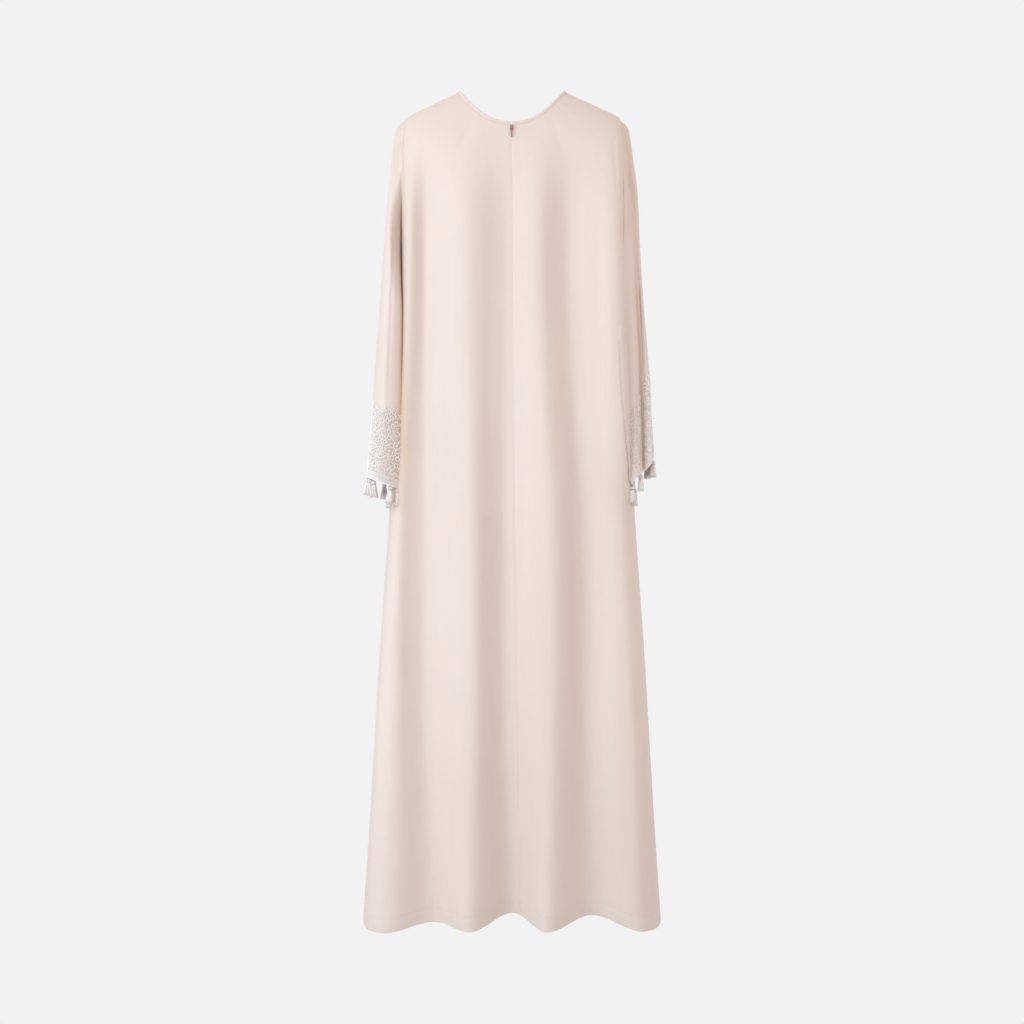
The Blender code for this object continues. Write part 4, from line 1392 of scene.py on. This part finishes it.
def sew_vines(field, top_at, chance):
    """Waving stems with scrolls and leaves on either side."""
    count = round(field.length / VINE_SPACING)
    for index in range(count):
        way = field.length * (index + chance.uniform(*VINE_PLACES)) / count
        top = top_at(way) - chance.uniform(*VINE_SHORTER)
        sway = chance.uniform(*VINE_SWAY)
        stem = vine_line(way, top - TIP_LONG, sway, chance.uniform(0.0, ANY_TURN))
        field.sew_line(stem, BEAD, VINE_TONE)
        tip = leaf_line(*stem[-1], chance.uniform(-TIP_LEAN, TIP_LEAN), TIP_LONG, TIP_WIDE)
        field.sew_line(tip, BEAD, TIP_TONE)
        side = chance.choice((-1.0, 1.0))
        shoot = FIRST_SHOOT
        while shoot < len(stem) - LAST_SHOOT:
            tone = chance.uniform(*SHOOT_TONES)
            heading = side * chance.uniform(*SHOOT_LEAN)
            if chance.random() < SCROLL_SHARE:
                line = scroll_line(*stem[shoot], heading, chance.uniform(*SCROLL_SIZES), side)
            else:
                length = chance.uniform(*LEAF_LENGTHS)
                line = leaf_line(*stem[shoot], heading, length, chance.uniform(*LEAF_WIDTHS))
            field.sew_line(line, BEAD, tone)
            side = -side
            shoot += chance.randint(*SHOOTS_APART)


def sew_filling(field, top_at, chance):
    """Rings as large as the room left allows, and single beads in what remains."""
    for _ in range(FILLING_TRIES):
        way = chance.uniform(0.0, field.length)
        top = top_at(way)
        height = chance.uniform(FILLING_FOOT, top)
        thin = smooth((height / top - THIN_FROM) / THIN_OVER)
        if chance.random() < thin * THINNED:
            continue
        room = field.nearest(way, height, MOST_ROOM)
        tone = chance.uniform(*FILLING_TONES)
        if room > RING_ROOM:
            radius = min(room - BEAD, RING_MOST)
            field.sew_line(ring_line(way, height, radius), BEAD_SMALL, tone)
        elif room > SINGLE_ROOM and chance.random() < SINGLE_SHARE:
            field.add(way, height, BEAD, tone)


def embroider(name, skin, tops, bare, seed, material):
    """Bead work of one cuff. tops are its heights by angle, bare the stretches without it."""
    chance = random.Random(seed)
    field = BeadField(skin.length)

    def top_at(way):
        waves = sum(high * math.sin(way * pitch + start) for high, pitch, start in TOP_WAVES)
        return round_height(tops, skin.angle(way)) + waves

    sew_border(field, chance)
    sew_vines(field, top_at, chance)
    sew_filling(field, top_at, chance)
    beads = Beads()
    for way, height, size, tone in field.beads:
        if is_bare(skin.angle(way), bare):
            continue
        point, outward = skin.place(way, height)
        turn = chance.uniform(0.0, BEAD_TURN)
        along = (math.cos(turn), math.sin(turn) * BEAD_SLANT, math.sin(turn))
        shape = [size * part for part in BEAD_SHAPE]
        shade = min(1.0, max(0.0, tone + chance.uniform(-BEAD_TONE, BEAD_TONE)))
        beads.add(point + outward * size * BEAD_SUNK, outward, along, shape, shade)
    add_piece(name, beads.mesh(name), material)


def round_height(tops, angle):
    """Soft closed curve through (angle, height) pairs."""
    for index, (start, height) in enumerate(tops):
        end, next_height = tops[(index + 1) % len(tops)]
        if end <= start:
            end += 360.0
        if start <= angle < end:
            return mix(height, next_height, smooth((angle - start) / (end - start)))
        if start <= angle + 360.0 < end:
            return mix(height, next_height, smooth((angle + 360.0 - start) / (end - start)))
    return tops[0][1]


def solid_cuff(sleeve):
    """Outer and inner rings of the solid sleeve's cuff, which carry the tassels."""
    angles = [360.0 * index / SOLID_COLUMNS for index in range(SOLID_COLUMNS)]
    downs = [((SOLID_ROWS - 1) / SOLID_ROWS) ** SOLID_ROW_POWER, 1.0]
    rows = np.array([sleeve.column(angle, downs) for angle in angles]).transpose(1, 0, 2)
    high, low = rows
    high_after = np.roll(high, -1, axis=0)
    low_after = np.roll(low, -1, axis=0)
    across = np.cross(low_after - high, low - high_after)
    across /= np.linalg.norm(across, axis=1, keepdims=True)
    steps = across + np.roll(across, 1, axis=0)
    steps[:, 2] = 0.0
    steps *= SOLID_WALL / np.linalg.norm(steps, axis=1, keepdims=True)
    return low, low - sleeve.side * steps


def tassel_spots(sleeve):
    """Middle of each tassel's root."""
    outer, inner = solid_cuff(sleeve)
    spots = []
    faces = []
    for index in range(len(outer)):
        after = (index + 1) % len(outer)
        steps = (outer[after] - outer[index], inner[after] - inner[index])
        length = min(np.linalg.norm(step[:2]) for step in steps)
        tassels = min(round(length / TASSEL_SPACING), int(length / (ROOT_LONG + ROOT_ROOM)))
        for tassel in range(tassels):
            share = (tassel + 0.5) / tassels
            face = outer[index] * (1.0 - share) + outer[after] * share
            if any(np.linalg.norm(face - other) < TASSEL_APART for other in faces):
                continue
            faces.append(face)
            back = inner[index] * (1.0 - share) + inner[after] * share
            spots.append((face + back) / 2)
    return spots


def thread_tube(points, radii, sides):
    """Points and quads of a tube along a line that runs downwards, with a radius at each point."""
    points = np.asarray(points)
    ring = [2.0 * math.pi * side / sides for side in range(sides)]
    circle = np.array([(math.cos(turn), math.sin(turn), 0.0) for turn in ring])
    radii = np.asarray(radii)[:, None, None]
    spots = (points[:, None, :] + circle[None, :, :] * radii).reshape(-1, 3)
    faces = []
    for row in range(len(points) - 1):
        high = row * sides
        low = high + sides
        for side in range(sides):
            after = (side + 1) % sides
            faces.append((high + side, low + side, low + after, high + after))
    faces.append(tuple(range(sides)))
    end = (len(points) - 1) * sides
    faces.append(tuple(end + side for side in reversed(range(sides))))
    return spots, faces


def skirt_radius(step, foot_wide):
    """Bell shape of a tassel's skirt, by the share of the way down."""
    return mix(SKIRT_TOP, foot_wide, 1.0 - (1.0 - step) ** SKIRT_BELL)


def tassel_threads(foot_wide, chance):
    """Core and threads of one tassel below its cap, as lines, radii and numbers of sides."""
    top = HEAD_LONG - HEAD_OVERLAP
    swing = np.array([*(chance.uniform(-most, most) for most in TASSEL_SWING), 0.0])
    down = np.array([0.0, 0.0, -1.0])
    core = [swing * step + down * (top + SKIRT_LONG * CORE_LONG * step) for step in THREAD_STEPS]
    core_radii = [skirt_radius(step, foot_wide) * CORE_SHARE for step in THREAD_STEPS]
    tubes = [(core, core_radii, CORE_SIDES)]
    for index in range(THREAD_COUNT):
        apart = chance.uniform(-THREAD_APART, THREAD_APART)
        turn = 2.0 * math.pi * (index + apart) / THREAD_COUNT
        turn_end = turn + chance.uniform(-THREAD_TWIST, THREAD_TWIST)
        wide = chance.uniform(*THREAD_WIDTHS)
        long = SKIRT_LONG * chance.uniform(*THREAD_LENGTHS)
        line = []
        for step in THREAD_STEPS:
            here = mix(turn, turn_end, step)
            out = np.array([math.cos(here), math.sin(here), 0.0]) * skirt_radius(step, foot_wide)
            line.append(out * mix(1.0, wide, step) + swing * step + down * (top + long * step))
        tubes.append((line, [THREAD_RADIUS] * len(line), THREAD_SIDES))
    return tubes


def add_cap(beads, foot, chance):
    """Rings of beads on the head of one tassel."""
    lean = chance.uniform(0.0, ANY_TURN)
    for drop, radius, count, size, tone in CAP_RINGS:
        rise = CAP_TOP_TILT if radius < CAP_TOP else CAP_SIDE_TILT
        for index in range(count):
            turn = 2.0 * math.pi * index / count + lean + drop * CAP_TWIST
            way = np.array([math.cos(turn), math.sin(turn), 0.0])
            out = np.array([way[0], way[1], rise])
            place = foot + way * radius - np.array([0.0, 0.0, drop])
            shade = tone + chance.uniform(-CAP_TONE, CAP_TONE)
            beads.add(place, out / np.linalg.norm(out), UP, (size, size, size * CAP_FLAT), shade)


def make_tassels(name, caps_name, node, sleeve, foot_wide, seed, silk, glass):
    """Thread skirts of one cuff, their beaded caps, and the narrow braid that joins them."""
    chance = random.Random(seed)
    points = []
    faces = []
    tones = []
    beads = Beads()
    for middle in tassel_spots(sleeve):
        foot = middle - np.array([0.0, 0.0, STRIP_GAP + STRIP_HIGH])
        for line, radii, sides in tassel_threads(foot_wide, chance):
            spots, quads = thread_tube(np.asarray(line) + foot, radii, sides)
            faces += [tuple(corner + len(points) for corner in quad) for quad in quads]
            points += spots.tolist()
            tones += [chance.random()] * len(spots)
        add_cap(beads, foot, chance)
    mesh = bpy.data.meshes.new(name)
    mesh.from_pydata(points, [], faces)
    mesh.shade_smooth()
    mark_points(mesh, "tone", tones)
    threads = add_piece(name, mesh, silk)
    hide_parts(node)
    add_braid(beads, sleeve, chance)
    add_piece(caps_name, beads.mesh(caps_name), glass)


def add_braid(beads, sleeve, chance):
    """Three rows of beads that hang under the cuff's edge and carry the tassels."""
    outer, inner = solid_cuff(sleeve)
    ring = (outer + inner) / 2
    out = outer - inner
    out /= np.linalg.norm(out, axis=1, keepdims=True)
    ring = np.concatenate([ring, ring[:1]])
    out = np.concatenate([out, out[:1]])
    marks = line_marks(ring)
    count = int(marks[-1] / BRAID_PITCH)
    size = (BRAID_PITCH * BRAID_WIDE, BRAID_PITCH * BRAID_WIDE, BRAID_PITCH)
    for row, drop in enumerate(BRAID_DROPS):
        for index in range(count):
            way = marks[-1] * (index + 0.5 * (row % 2)) / count
            place = read_line(way, marks, ring) - np.array([0.0, 0.0, drop])
            face = read_line(way, marks, out)
            tone = chance.uniform(*BRAID_TONES)
            beads.add(place, face / np.linalg.norm(face), UP, size, tone)


def neck_walk(back, front):
    """Stations of the neckline from centre back round the left and the front to the right."""
    top = NECK_COLUMNS / (NECK_COLUMNS + SIDE_COLUMNS)
    shares = [top * index / NECK_STEPS for index in range(NECK_STEPS + 1)]
    walk = [(back, -share) for share in shares]
    walk += [(front, -share) for share in reversed(shares[:-1])]
    walk += [(front, share) for share in shares[1:]]
    walk += [(back, share) for share in reversed(shares[:-1])]
    return walk


def neck_way_up(half, edge):
    """The lie of the cloth at the neckline: upright at the centre, sloping at the shoulder."""
    share = min(1.0, abs(edge.x) / NECK_HALF)
    turn = math.radians(BINDING_TURN) * share ** BINDING_TURN_POWER
    side = 1.0 if edge.x >= 0 else -1.0
    lean = -half.facing * BINDING_LEAN * (1.0 - share)
    return Vector((-side * math.sin(turn), lean, math.cos(turn))).normalized()


def binding_frames(back, front):
    """Foot of the binding at each station, with its ways up and out."""
    walk = neck_walk(back, front)
    edges = [half.point(along, 2.0) for half, along in walk]
    ups = [neck_way_up(half, edge) for (half, _), edge in zip(walk, edges)]
    feet = np.array([tuple(edge + SEAM * up) for edge, up in zip(edges, ups)])
    ups = np.array([tuple(up) for up in ups])
    outs = np.cross(ups, np.gradient(feet, axis=0))
    outs /= np.linalg.norm(outs, axis=1, keepdims=True)
    for _ in range(NECK_EASING):
        outs[1:-1] = outs[1:-1] / 2 + (outs[:-2] + outs[2:]) / 4
    outs /= np.linalg.norm(outs, axis=1, keepdims=True)
    return feet, ups, outs


def binding_grids(feet, ups, outs):
    """Outer and inner points of the folded strip, closed over its upper edge."""
    length = line_marks(feet)
    first_wave, second_wave = BINDING_WAVES
    outer = []
    inner = []
    for height, out in BINDING_PROFILE:
        ripple = BINDING_RIPPLE * np.sin(length * first_wave) * np.sin(length * second_wave + 0.6)
        ripple *= height > RIPPLE_FROM
        base = feet + ups * (height * BINDING_HEIGHT)
        inner_out = -1.0 - out * 0.5
        outer.append(base + outs * (out * BINDING_THICK + ripple)[:, None])
        inner.append(base + outs * (inner_out * BINDING_THICK + ripple)[:, None])
    crown = (outer[-1] + inner[-1]) / 2 + ups * BINDING_THICK * BINDING_CROWN
    outer.append(crown)
    inner.append(crown - outs * CROWN_GAP)
    outer = np.array(outer)
    inner = np.array(inner)
    for grid in (outer, inner):
        high = np.linspace(0.0, 1.0, len(grid))
        grid[:, 0, 0] -= SEAM + (NOTCH - SEAM) * high
        grid[:, -1, 0] += SEAM + SEAM * high
    return outer, inner


def sew_neck(line, outs, marks, thread):
    """Row of edge stitches along the binding."""
    stitches = Beads()
    for spot in np.arange(STITCH_PITCH, marks[-1] - STITCH_PITCH, STITCH_PITCH):
        out = read_line(spot, marks, outs)
        stitches.add(read_line(spot, marks, line), out, np.cross(UP, out), STITCH_SIZE, 0.5)
    add_piece("neck_stitches", stitches.mesh("neck_stitches"), thread)


def make_binding(back, front, material, thread):
    """Folded bias strip that stands at the neck, with its row of edge stitches."""
    feet, ups, outs = binding_frames(back, front)
    outer, inner = binding_grids(feet, ups, outs)
    mesh = shell_mesh("neck_binding_cloth", outer, inner, False, True)
    piece = add_piece("neck_binding_cloth", mesh, material)
    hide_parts("neck_binding")
    sew_neck(outer[1], outs, line_marks(feet), thread)


class Nodes:
    """Short ways to build a material's node tree."""

    def __init__(self, name):
        self.material = bpy.data.materials.new(name)
        self.material.use_nodes = True
        self.tree = self.material.node_tree
        self.shader = self.tree.nodes["Principled BSDF"]

    def node(self, kind, **values):
        made = self.tree.nodes.new(kind)
        for name, value in values.items():
            setattr(made, name, value)
        return made

    def link(self, start, end):
        self.tree.links.new(start, end)

    def scaled_place(self, scale):
        """Place on the object, stretched by a scale along each axis."""
        place = self.node("ShaderNodeTexCoord")
        mapping = self.node("ShaderNodeMapping")
        mapping.inputs["Scale"].default_value = scale
        self.link(place.outputs["Object"], mapping.inputs["Vector"])
        return mapping.outputs["Vector"]

    def noise(self, scale, size, detail=2.0, rough=0.5):
        made = self.node("ShaderNodeTexNoise")
        made.inputs["Scale"].default_value = size
        made.inputs["Detail"].default_value = detail
        made.inputs["Roughness"].default_value = rough
        self.link(self.scaled_place(scale), made.inputs["Vector"])
        return made.outputs["Fac"]

    def ramp(self, value, stops):
        """Colour by a number, through (place, colour) stops."""
        made = self.node("ShaderNodeValToRGB")
        while len(made.color_ramp.elements) < len(stops):
            made.color_ramp.elements.new(0.5)
        for element, (place, colour) in zip(made.color_ramp.elements, stops):
            element.position = place
            element.color = (*colour, 1.0)
        self.link(value, made.inputs["Fac"])
        return made.outputs["Color"]

    def maths(self, operation, one, two):
        made = self.node("ShaderNodeMath", operation=operation)
        for socket, value in zip(made.inputs, (one, two)):
            if isinstance(value, (int, float)):
                socket.default_value = value
            else:
                self.link(value, socket)
        return made.outputs["Value"]

    def weighed(self, one, one_share, two, two_share):
        """Two numbers added up, each with its share."""
        one = self.maths("MULTIPLY", one, one_share)
        two = self.maths("MULTIPLY", two, two_share)
        return self.maths("ADD", one, two)

    def blend(self, kind, share, one, two):
        made = self.node("ShaderNodeMix", data_type="RGBA", blend_type=kind)
        for socket, value in ((made.inputs[0], share), (made.inputs[6], one), (made.inputs[7], two)):
            if isinstance(value, (int, float)):
                socket.default_value = value
            elif isinstance(value, tuple):
                socket.default_value = (*value, 1.0)
            else:
                self.link(value, socket)
        return made.outputs[2]

    def attribute(self, name):
        return self.node("ShaderNodeAttribute", attribute_name=name).outputs["Fac"]

    def bump(self, heights):
        """Bumps laid over each other, as (height, distance) pairs."""
        normal = None
        for height, distance in heights:
            made = self.node("ShaderNodeBump")
            made.inputs["Distance"].default_value = distance
            made.inputs["Strength"].default_value = 1.0
            self.link(height, made.inputs["Height"])
            if normal is not None:
                self.link(normal, made.inputs["Normal"])
            normal = made.outputs["Normal"]
        self.link(normal, self.shader.inputs["Normal"])

    def let_through(self, colour, share):
        """Part of the light passes through the thin cloth, warmed on its way."""
        through = self.node("ShaderNodeBsdfTranslucent")
        through.inputs["Color"].default_value = (*colour, 1.0)
        mixer = self.node("ShaderNodeMixShader")
        mixer.inputs["Fac"].default_value = share
        self.link(self.shader.outputs["BSDF"], mixer.inputs[1])
        self.link(through.outputs["BSDF"], mixer.inputs[2])
        self.link(mixer.outputs["Shader"], self.tree.nodes["Material Output"].inputs["Surface"])

    def set(self, **values):
        for name, value in values.items():
            self.shader.inputs[name.replace("_", " ")].default_value = value


def tint(colour, shares):
    """A colour with each of its parts scaled, up to 1."""
    return tuple(min(1.0, part * share) for part, share in zip(colour, shares))


def crepe_material(name, colour, sheen):
    """Matt satin crepe: pebbled grain, faint vertical streaks and a soft sheen."""
    made = Nodes(name)
    cloud = made.noise((1.0, 1.0, 0.6), 5.0)
    streak = made.noise((260.0, 260.0, 5.0), 1.0, 3.0, 0.6)
    mottled = made.weighed(cloud, 0.6, streak, 0.4)
    stops = [(0.30, tint(colour, CREPE_DEEP)), (0.70, tint(colour, CREPE_LIGHT))]
    shade = made.ramp(mottled, stops)
    band = made.maths("MULTIPLY", made.attribute("band"), 0.55)
    shade = made.blend("MIX", band, shade, tint(colour, CREPE_BAND))
    # Greyer ground under the bead work: partly its own tone, partly painted shade between the beads
    shade = made.blend("MIX", made.attribute("ground_shade"), shade, tint(colour, BEAD_GROUND_SHADE))
    # Painted shade, warm in colour, in narrow valleys
    shade = made.blend("MIX", made.attribute("valley"), shade, tint(colour, PAINTED_VALLEY_SHADE))
    made.link(shade, made.shader.inputs["Base Color"])
    grain = made.noise((1.0, 1.0, 1.0), 1500.0, 2.0, 0.6)
    weave = made.noise((1.0, 1.0, 0.25), 2600.0, 1.0, 0.5)
    made.bump([(grain, 0.00016), (weave, 0.00008), (streak, 0.00010)])
    rough = made.maths("ADD", made.maths("MULTIPLY", grain, 0.12), 0.50)
    made.link(rough, made.shader.inputs["Roughness"])
    made.set(Specular_IOR_Level=0.28, Sheen_Weight=sheen, Sheen_Roughness=0.45)
    made.shader.inputs["Sheen Tint"].default_value = SHEEN_TINT
    made.let_through(THROUGH_COLOUR, THROUGH_SHARE)
    return made.material


def bead_material():
    """Silver-lined glass beads, from mauve grey to pearl."""
    made = Nodes("bead_glass")
    colour = made.ramp(made.attribute("tone"), BEAD_COLOURS)
    cloud = made.noise((1.0, 1.0, 1.0), 900.0)
    cloudy = made.blend("MULTIPLY", 0.25, colour, made.ramp(cloud, BEAD_CLOUD))
    made.link(cloudy, made.shader.inputs["Base Color"])
    made.bump([(cloud, 0.0001)])
    made.set(Metallic=0.06, Roughness=0.30, Coat_Weight=0.25, Coat_Roughness=0.12)
    return made.material


def silk_material(name, low, high):
    """Floss of the tassels."""
    made = Nodes(name)
    fibre = made.noise((2400.0, 2400.0, 120.0), 1.0, 2.0)
    mixed = made.weighed(made.attribute("tone"), 0.6, fibre, 0.4)
    made.link(made.ramp(mixed, [(0.15, low), (0.85, high)]), made.shader.inputs["Base Color"])
    made.bump([(fibre, 0.0001)])
    made.set(Roughness=0.42, Specular_IOR_Level=0.45, Sheen_Weight=0.35, Sheen_Roughness=0.35)
    return made.material


def metal_material(name, low, high, roughness):
    """Worn brass: colour and gloss change a little over it."""
    made = Nodes(name)
    cloud = made.noise((1.0, 1.0, 1.0), 700.0, 3.0)
    scratch = made.noise((3000.0, 3000.0, 250.0), 1.0, 2.0)
    made.link(made.ramp(cloud, [(0.3, low), (0.7, high)]), made.shader.inputs["Base Color"])
    rough = made.maths("ADD", made.maths("MULTIPLY", cloud, 0.18), roughness)
    made.link(rough, made.shader.inputs["Roughness"])
    made.bump([(scratch, 0.00003)])
    made.set(Metallic=1.0)
    return made.material


def finish_zip(nodes):
    """Better metal and softened edges for the slider and its pull."""
    for name, metal, low, high, roughness in ZIP_METALS:
        thing = nodes[name]
        thing.data.materials.clear()
        thing.data.materials.append(metal_material(metal, low, high, roughness))
        soften = thing.modifiers.new("soften", "BEVEL")
        soften.width = ZIP_ROUNDING
        soften.segments = 3
        soften.limit_method = "ANGLE"


def make_camera():
    data = bpy.data.cameras.new("camera")
    data.sensor_width = SENSOR
    data.lens = SENSOR * CAMERA_DISTANCE / FRAME_WIDE
    camera = add_object("camera", data)
    camera.location = (0.0, -CAMERA_DISTANCE, -CAMERA_DROP)
    camera.rotation_euler = (math.pi / 2, 0.0, 0.0)
    bpy.context.scene.camera = camera


def make_world():
    """Pale studio: one even grey behind the garment and soft light from all round."""
    world = bpy.data.worlds.new("studio")
    bpy.context.scene.world = world
    world.use_nodes = True
    tree = world.node_tree
    tree.nodes.clear()
    out = tree.nodes.new("ShaderNodeOutputWorld")
    mixer = tree.nodes.new("ShaderNodeMixShader")
    paths = tree.nodes.new("ShaderNodeLightPath")
    fill = tree.nodes.new("ShaderNodeBackground")
    fill.inputs["Color"].default_value = (*FILL_COLOUR, 1.0)
    fill.inputs["Strength"].default_value = FILL
    seen = tree.nodes.new("ShaderNodeBackground")
    seen.inputs["Color"].default_value = (BACKDROP, BACKDROP, BACKDROP, 1.0)
    tree.links.new(paths.outputs["Is Camera Ray"], mixer.inputs["Fac"])
    tree.links.new(fill.outputs["Background"], mixer.inputs[1])
    tree.links.new(seen.outputs["Background"], mixer.inputs[2])
    tree.links.new(mixer.outputs["Shader"], out.inputs["Surface"])


def make_light(name, place, target, size, power, colour):
    data = bpy.data.lights.new(name, "AREA")
    data.shape = "RECTANGLE"
    data.size, data.size_y = size
    data.energy = power
    data.color = colour
    light = add_object(name, data)
    light.location = place
    light.rotation_euler = (Vector(target) - Vector(place)).to_track_quat("-Z", "Y").to_euler()


def make_disc(name, paint, radius, steps, height, grey, unseen):
    """Flat glowing disc that stands in for the floor or the paper on it."""
    shape = bmesh.new()
    bmesh.ops.create_circle(shape, cap_ends=True, radius=radius, segments=steps)
    mesh = bpy.data.meshes.new(name)
    shape.to_mesh(mesh)
    shape.free()
    made = Nodes(paint)
    glow = made.node("ShaderNodeEmission")
    glow.inputs["Color"].default_value = (grey, grey, grey, 1.0)
    made.link(glow.outputs["Emission"], made.tree.nodes["Material Output"].inputs["Surface"])
    mesh.materials.append(made.material)
    disc = add_object(name, mesh)
    disc.location = (0.0, 0.0, height)
    for way in unseen:
        setattr(disc, way, False)


def make_floor():
    """Pale floor like the backdrop, and a greyer paper that takes a little light from the hem."""
    floor_unseen = ("visible_diffuse", "visible_glossy", "visible_shadow")
    card_unseen = ("visible_camera", "visible_shadow")
    discs = [
        # name, paint, radius, steps, height, grey, what doesn't see it
        ("floor", "floor_paint", FLOOR_WIDE, FLOOR_STEPS, FLOOR, BACKDROP, floor_unseen),
        ("card", "card_paper", CARD_WIDE, CARD_STEPS, FLOOR + CARD_LIFT, CARD_GREY, card_unseen),
    ]
    for disc in discs:
        make_disc(*disc)


def main():
    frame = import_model()
    bpy.context.scene.view_settings.view_transform = "Standard"
    crepe = crepe_material("blush_crepe", BLUSH, CREPE_SHEEN)
    satin = crepe_material("binding_crepe", BINDING_BLUSH, BINDING_SHEEN)
    thread = silk_material("sewing_thread", *THREAD_COLOURS)
    silk = silk_material("tassel_silk", *SILK_COLOURS)
    glass = bead_material()

    back = BodyHalf(-1.0, "back_depth", BACK_FOLDS, BACK_NECK_DROP, True)
    front = BodyHalf(1.0, "front_depth", FRONT_FOLDS, FRONT_NECK_DROP, False)
    make_body(back, front, crepe)
    make_binding(back, front, satin, thread)

    left = Sleeve(-1.0, SLEEVE_LEFT, None, CUFF_LEFT, (back, front))
    right = Sleeve(1.0, SLEEVE_RIGHT, GROOVE, CUFF_RIGHT, (back, front))
    left_work = (LEFT_TOPS, [])
    right_work = (RIGHT_TOPS, RIGHT_BARE)
    plan = [
        # name, node, sleeve, creases, heights of the bead work, angles left bare, its ground shade
        ("sleeve_left_cloth", "sleeve_left", left, LEFT_SLEEVE_CREASES, *left_work, LEFT_GROUND_SHADE),
        ("sleeve_right_cloth", "sleeve_right", right, RIGHT_SLEEVE_CREASES, *right_work, RIGHT_GROUND_SHADE),
    ]
    left_skin, right_skin = [make_sleeve(*row, crepe) for row in plan]
    embroider("beadwork_left", left_skin, *left_work, LEFT_BEADS_SEED, glass)
    embroider("beadwork_right", right_skin, *right_work, RIGHT_BEADS_SEED, glass)
    left_tassels = ("tassels_left", "tassel_caps_left", "tassel_trim_left")
    right_tassels = ("tassels_right", "tassel_caps_right", "tassel_trim_right")
    trims = [
        # name, caps and node, sleeve, half width of a tassel's foot, seed
        (*left_tassels, left, LEFT_FOOT, LEFT_TASSELS_SEED),
        (*right_tassels, right, RIGHT_FOOT, RIGHT_TASSELS_SEED),
    ]
    for trim in trims:
        make_tassels(*trim, silk, glass)
    finish_zip(frame["nodes"])

    make_camera()
    make_world()
    make_light("key", KEY_PLACE, KEY_TARGET, KEY_SIZE, KEY_POWER, KEY_COLOUR)
    make_floor()

    bpy.context.view_layer.update()


main()
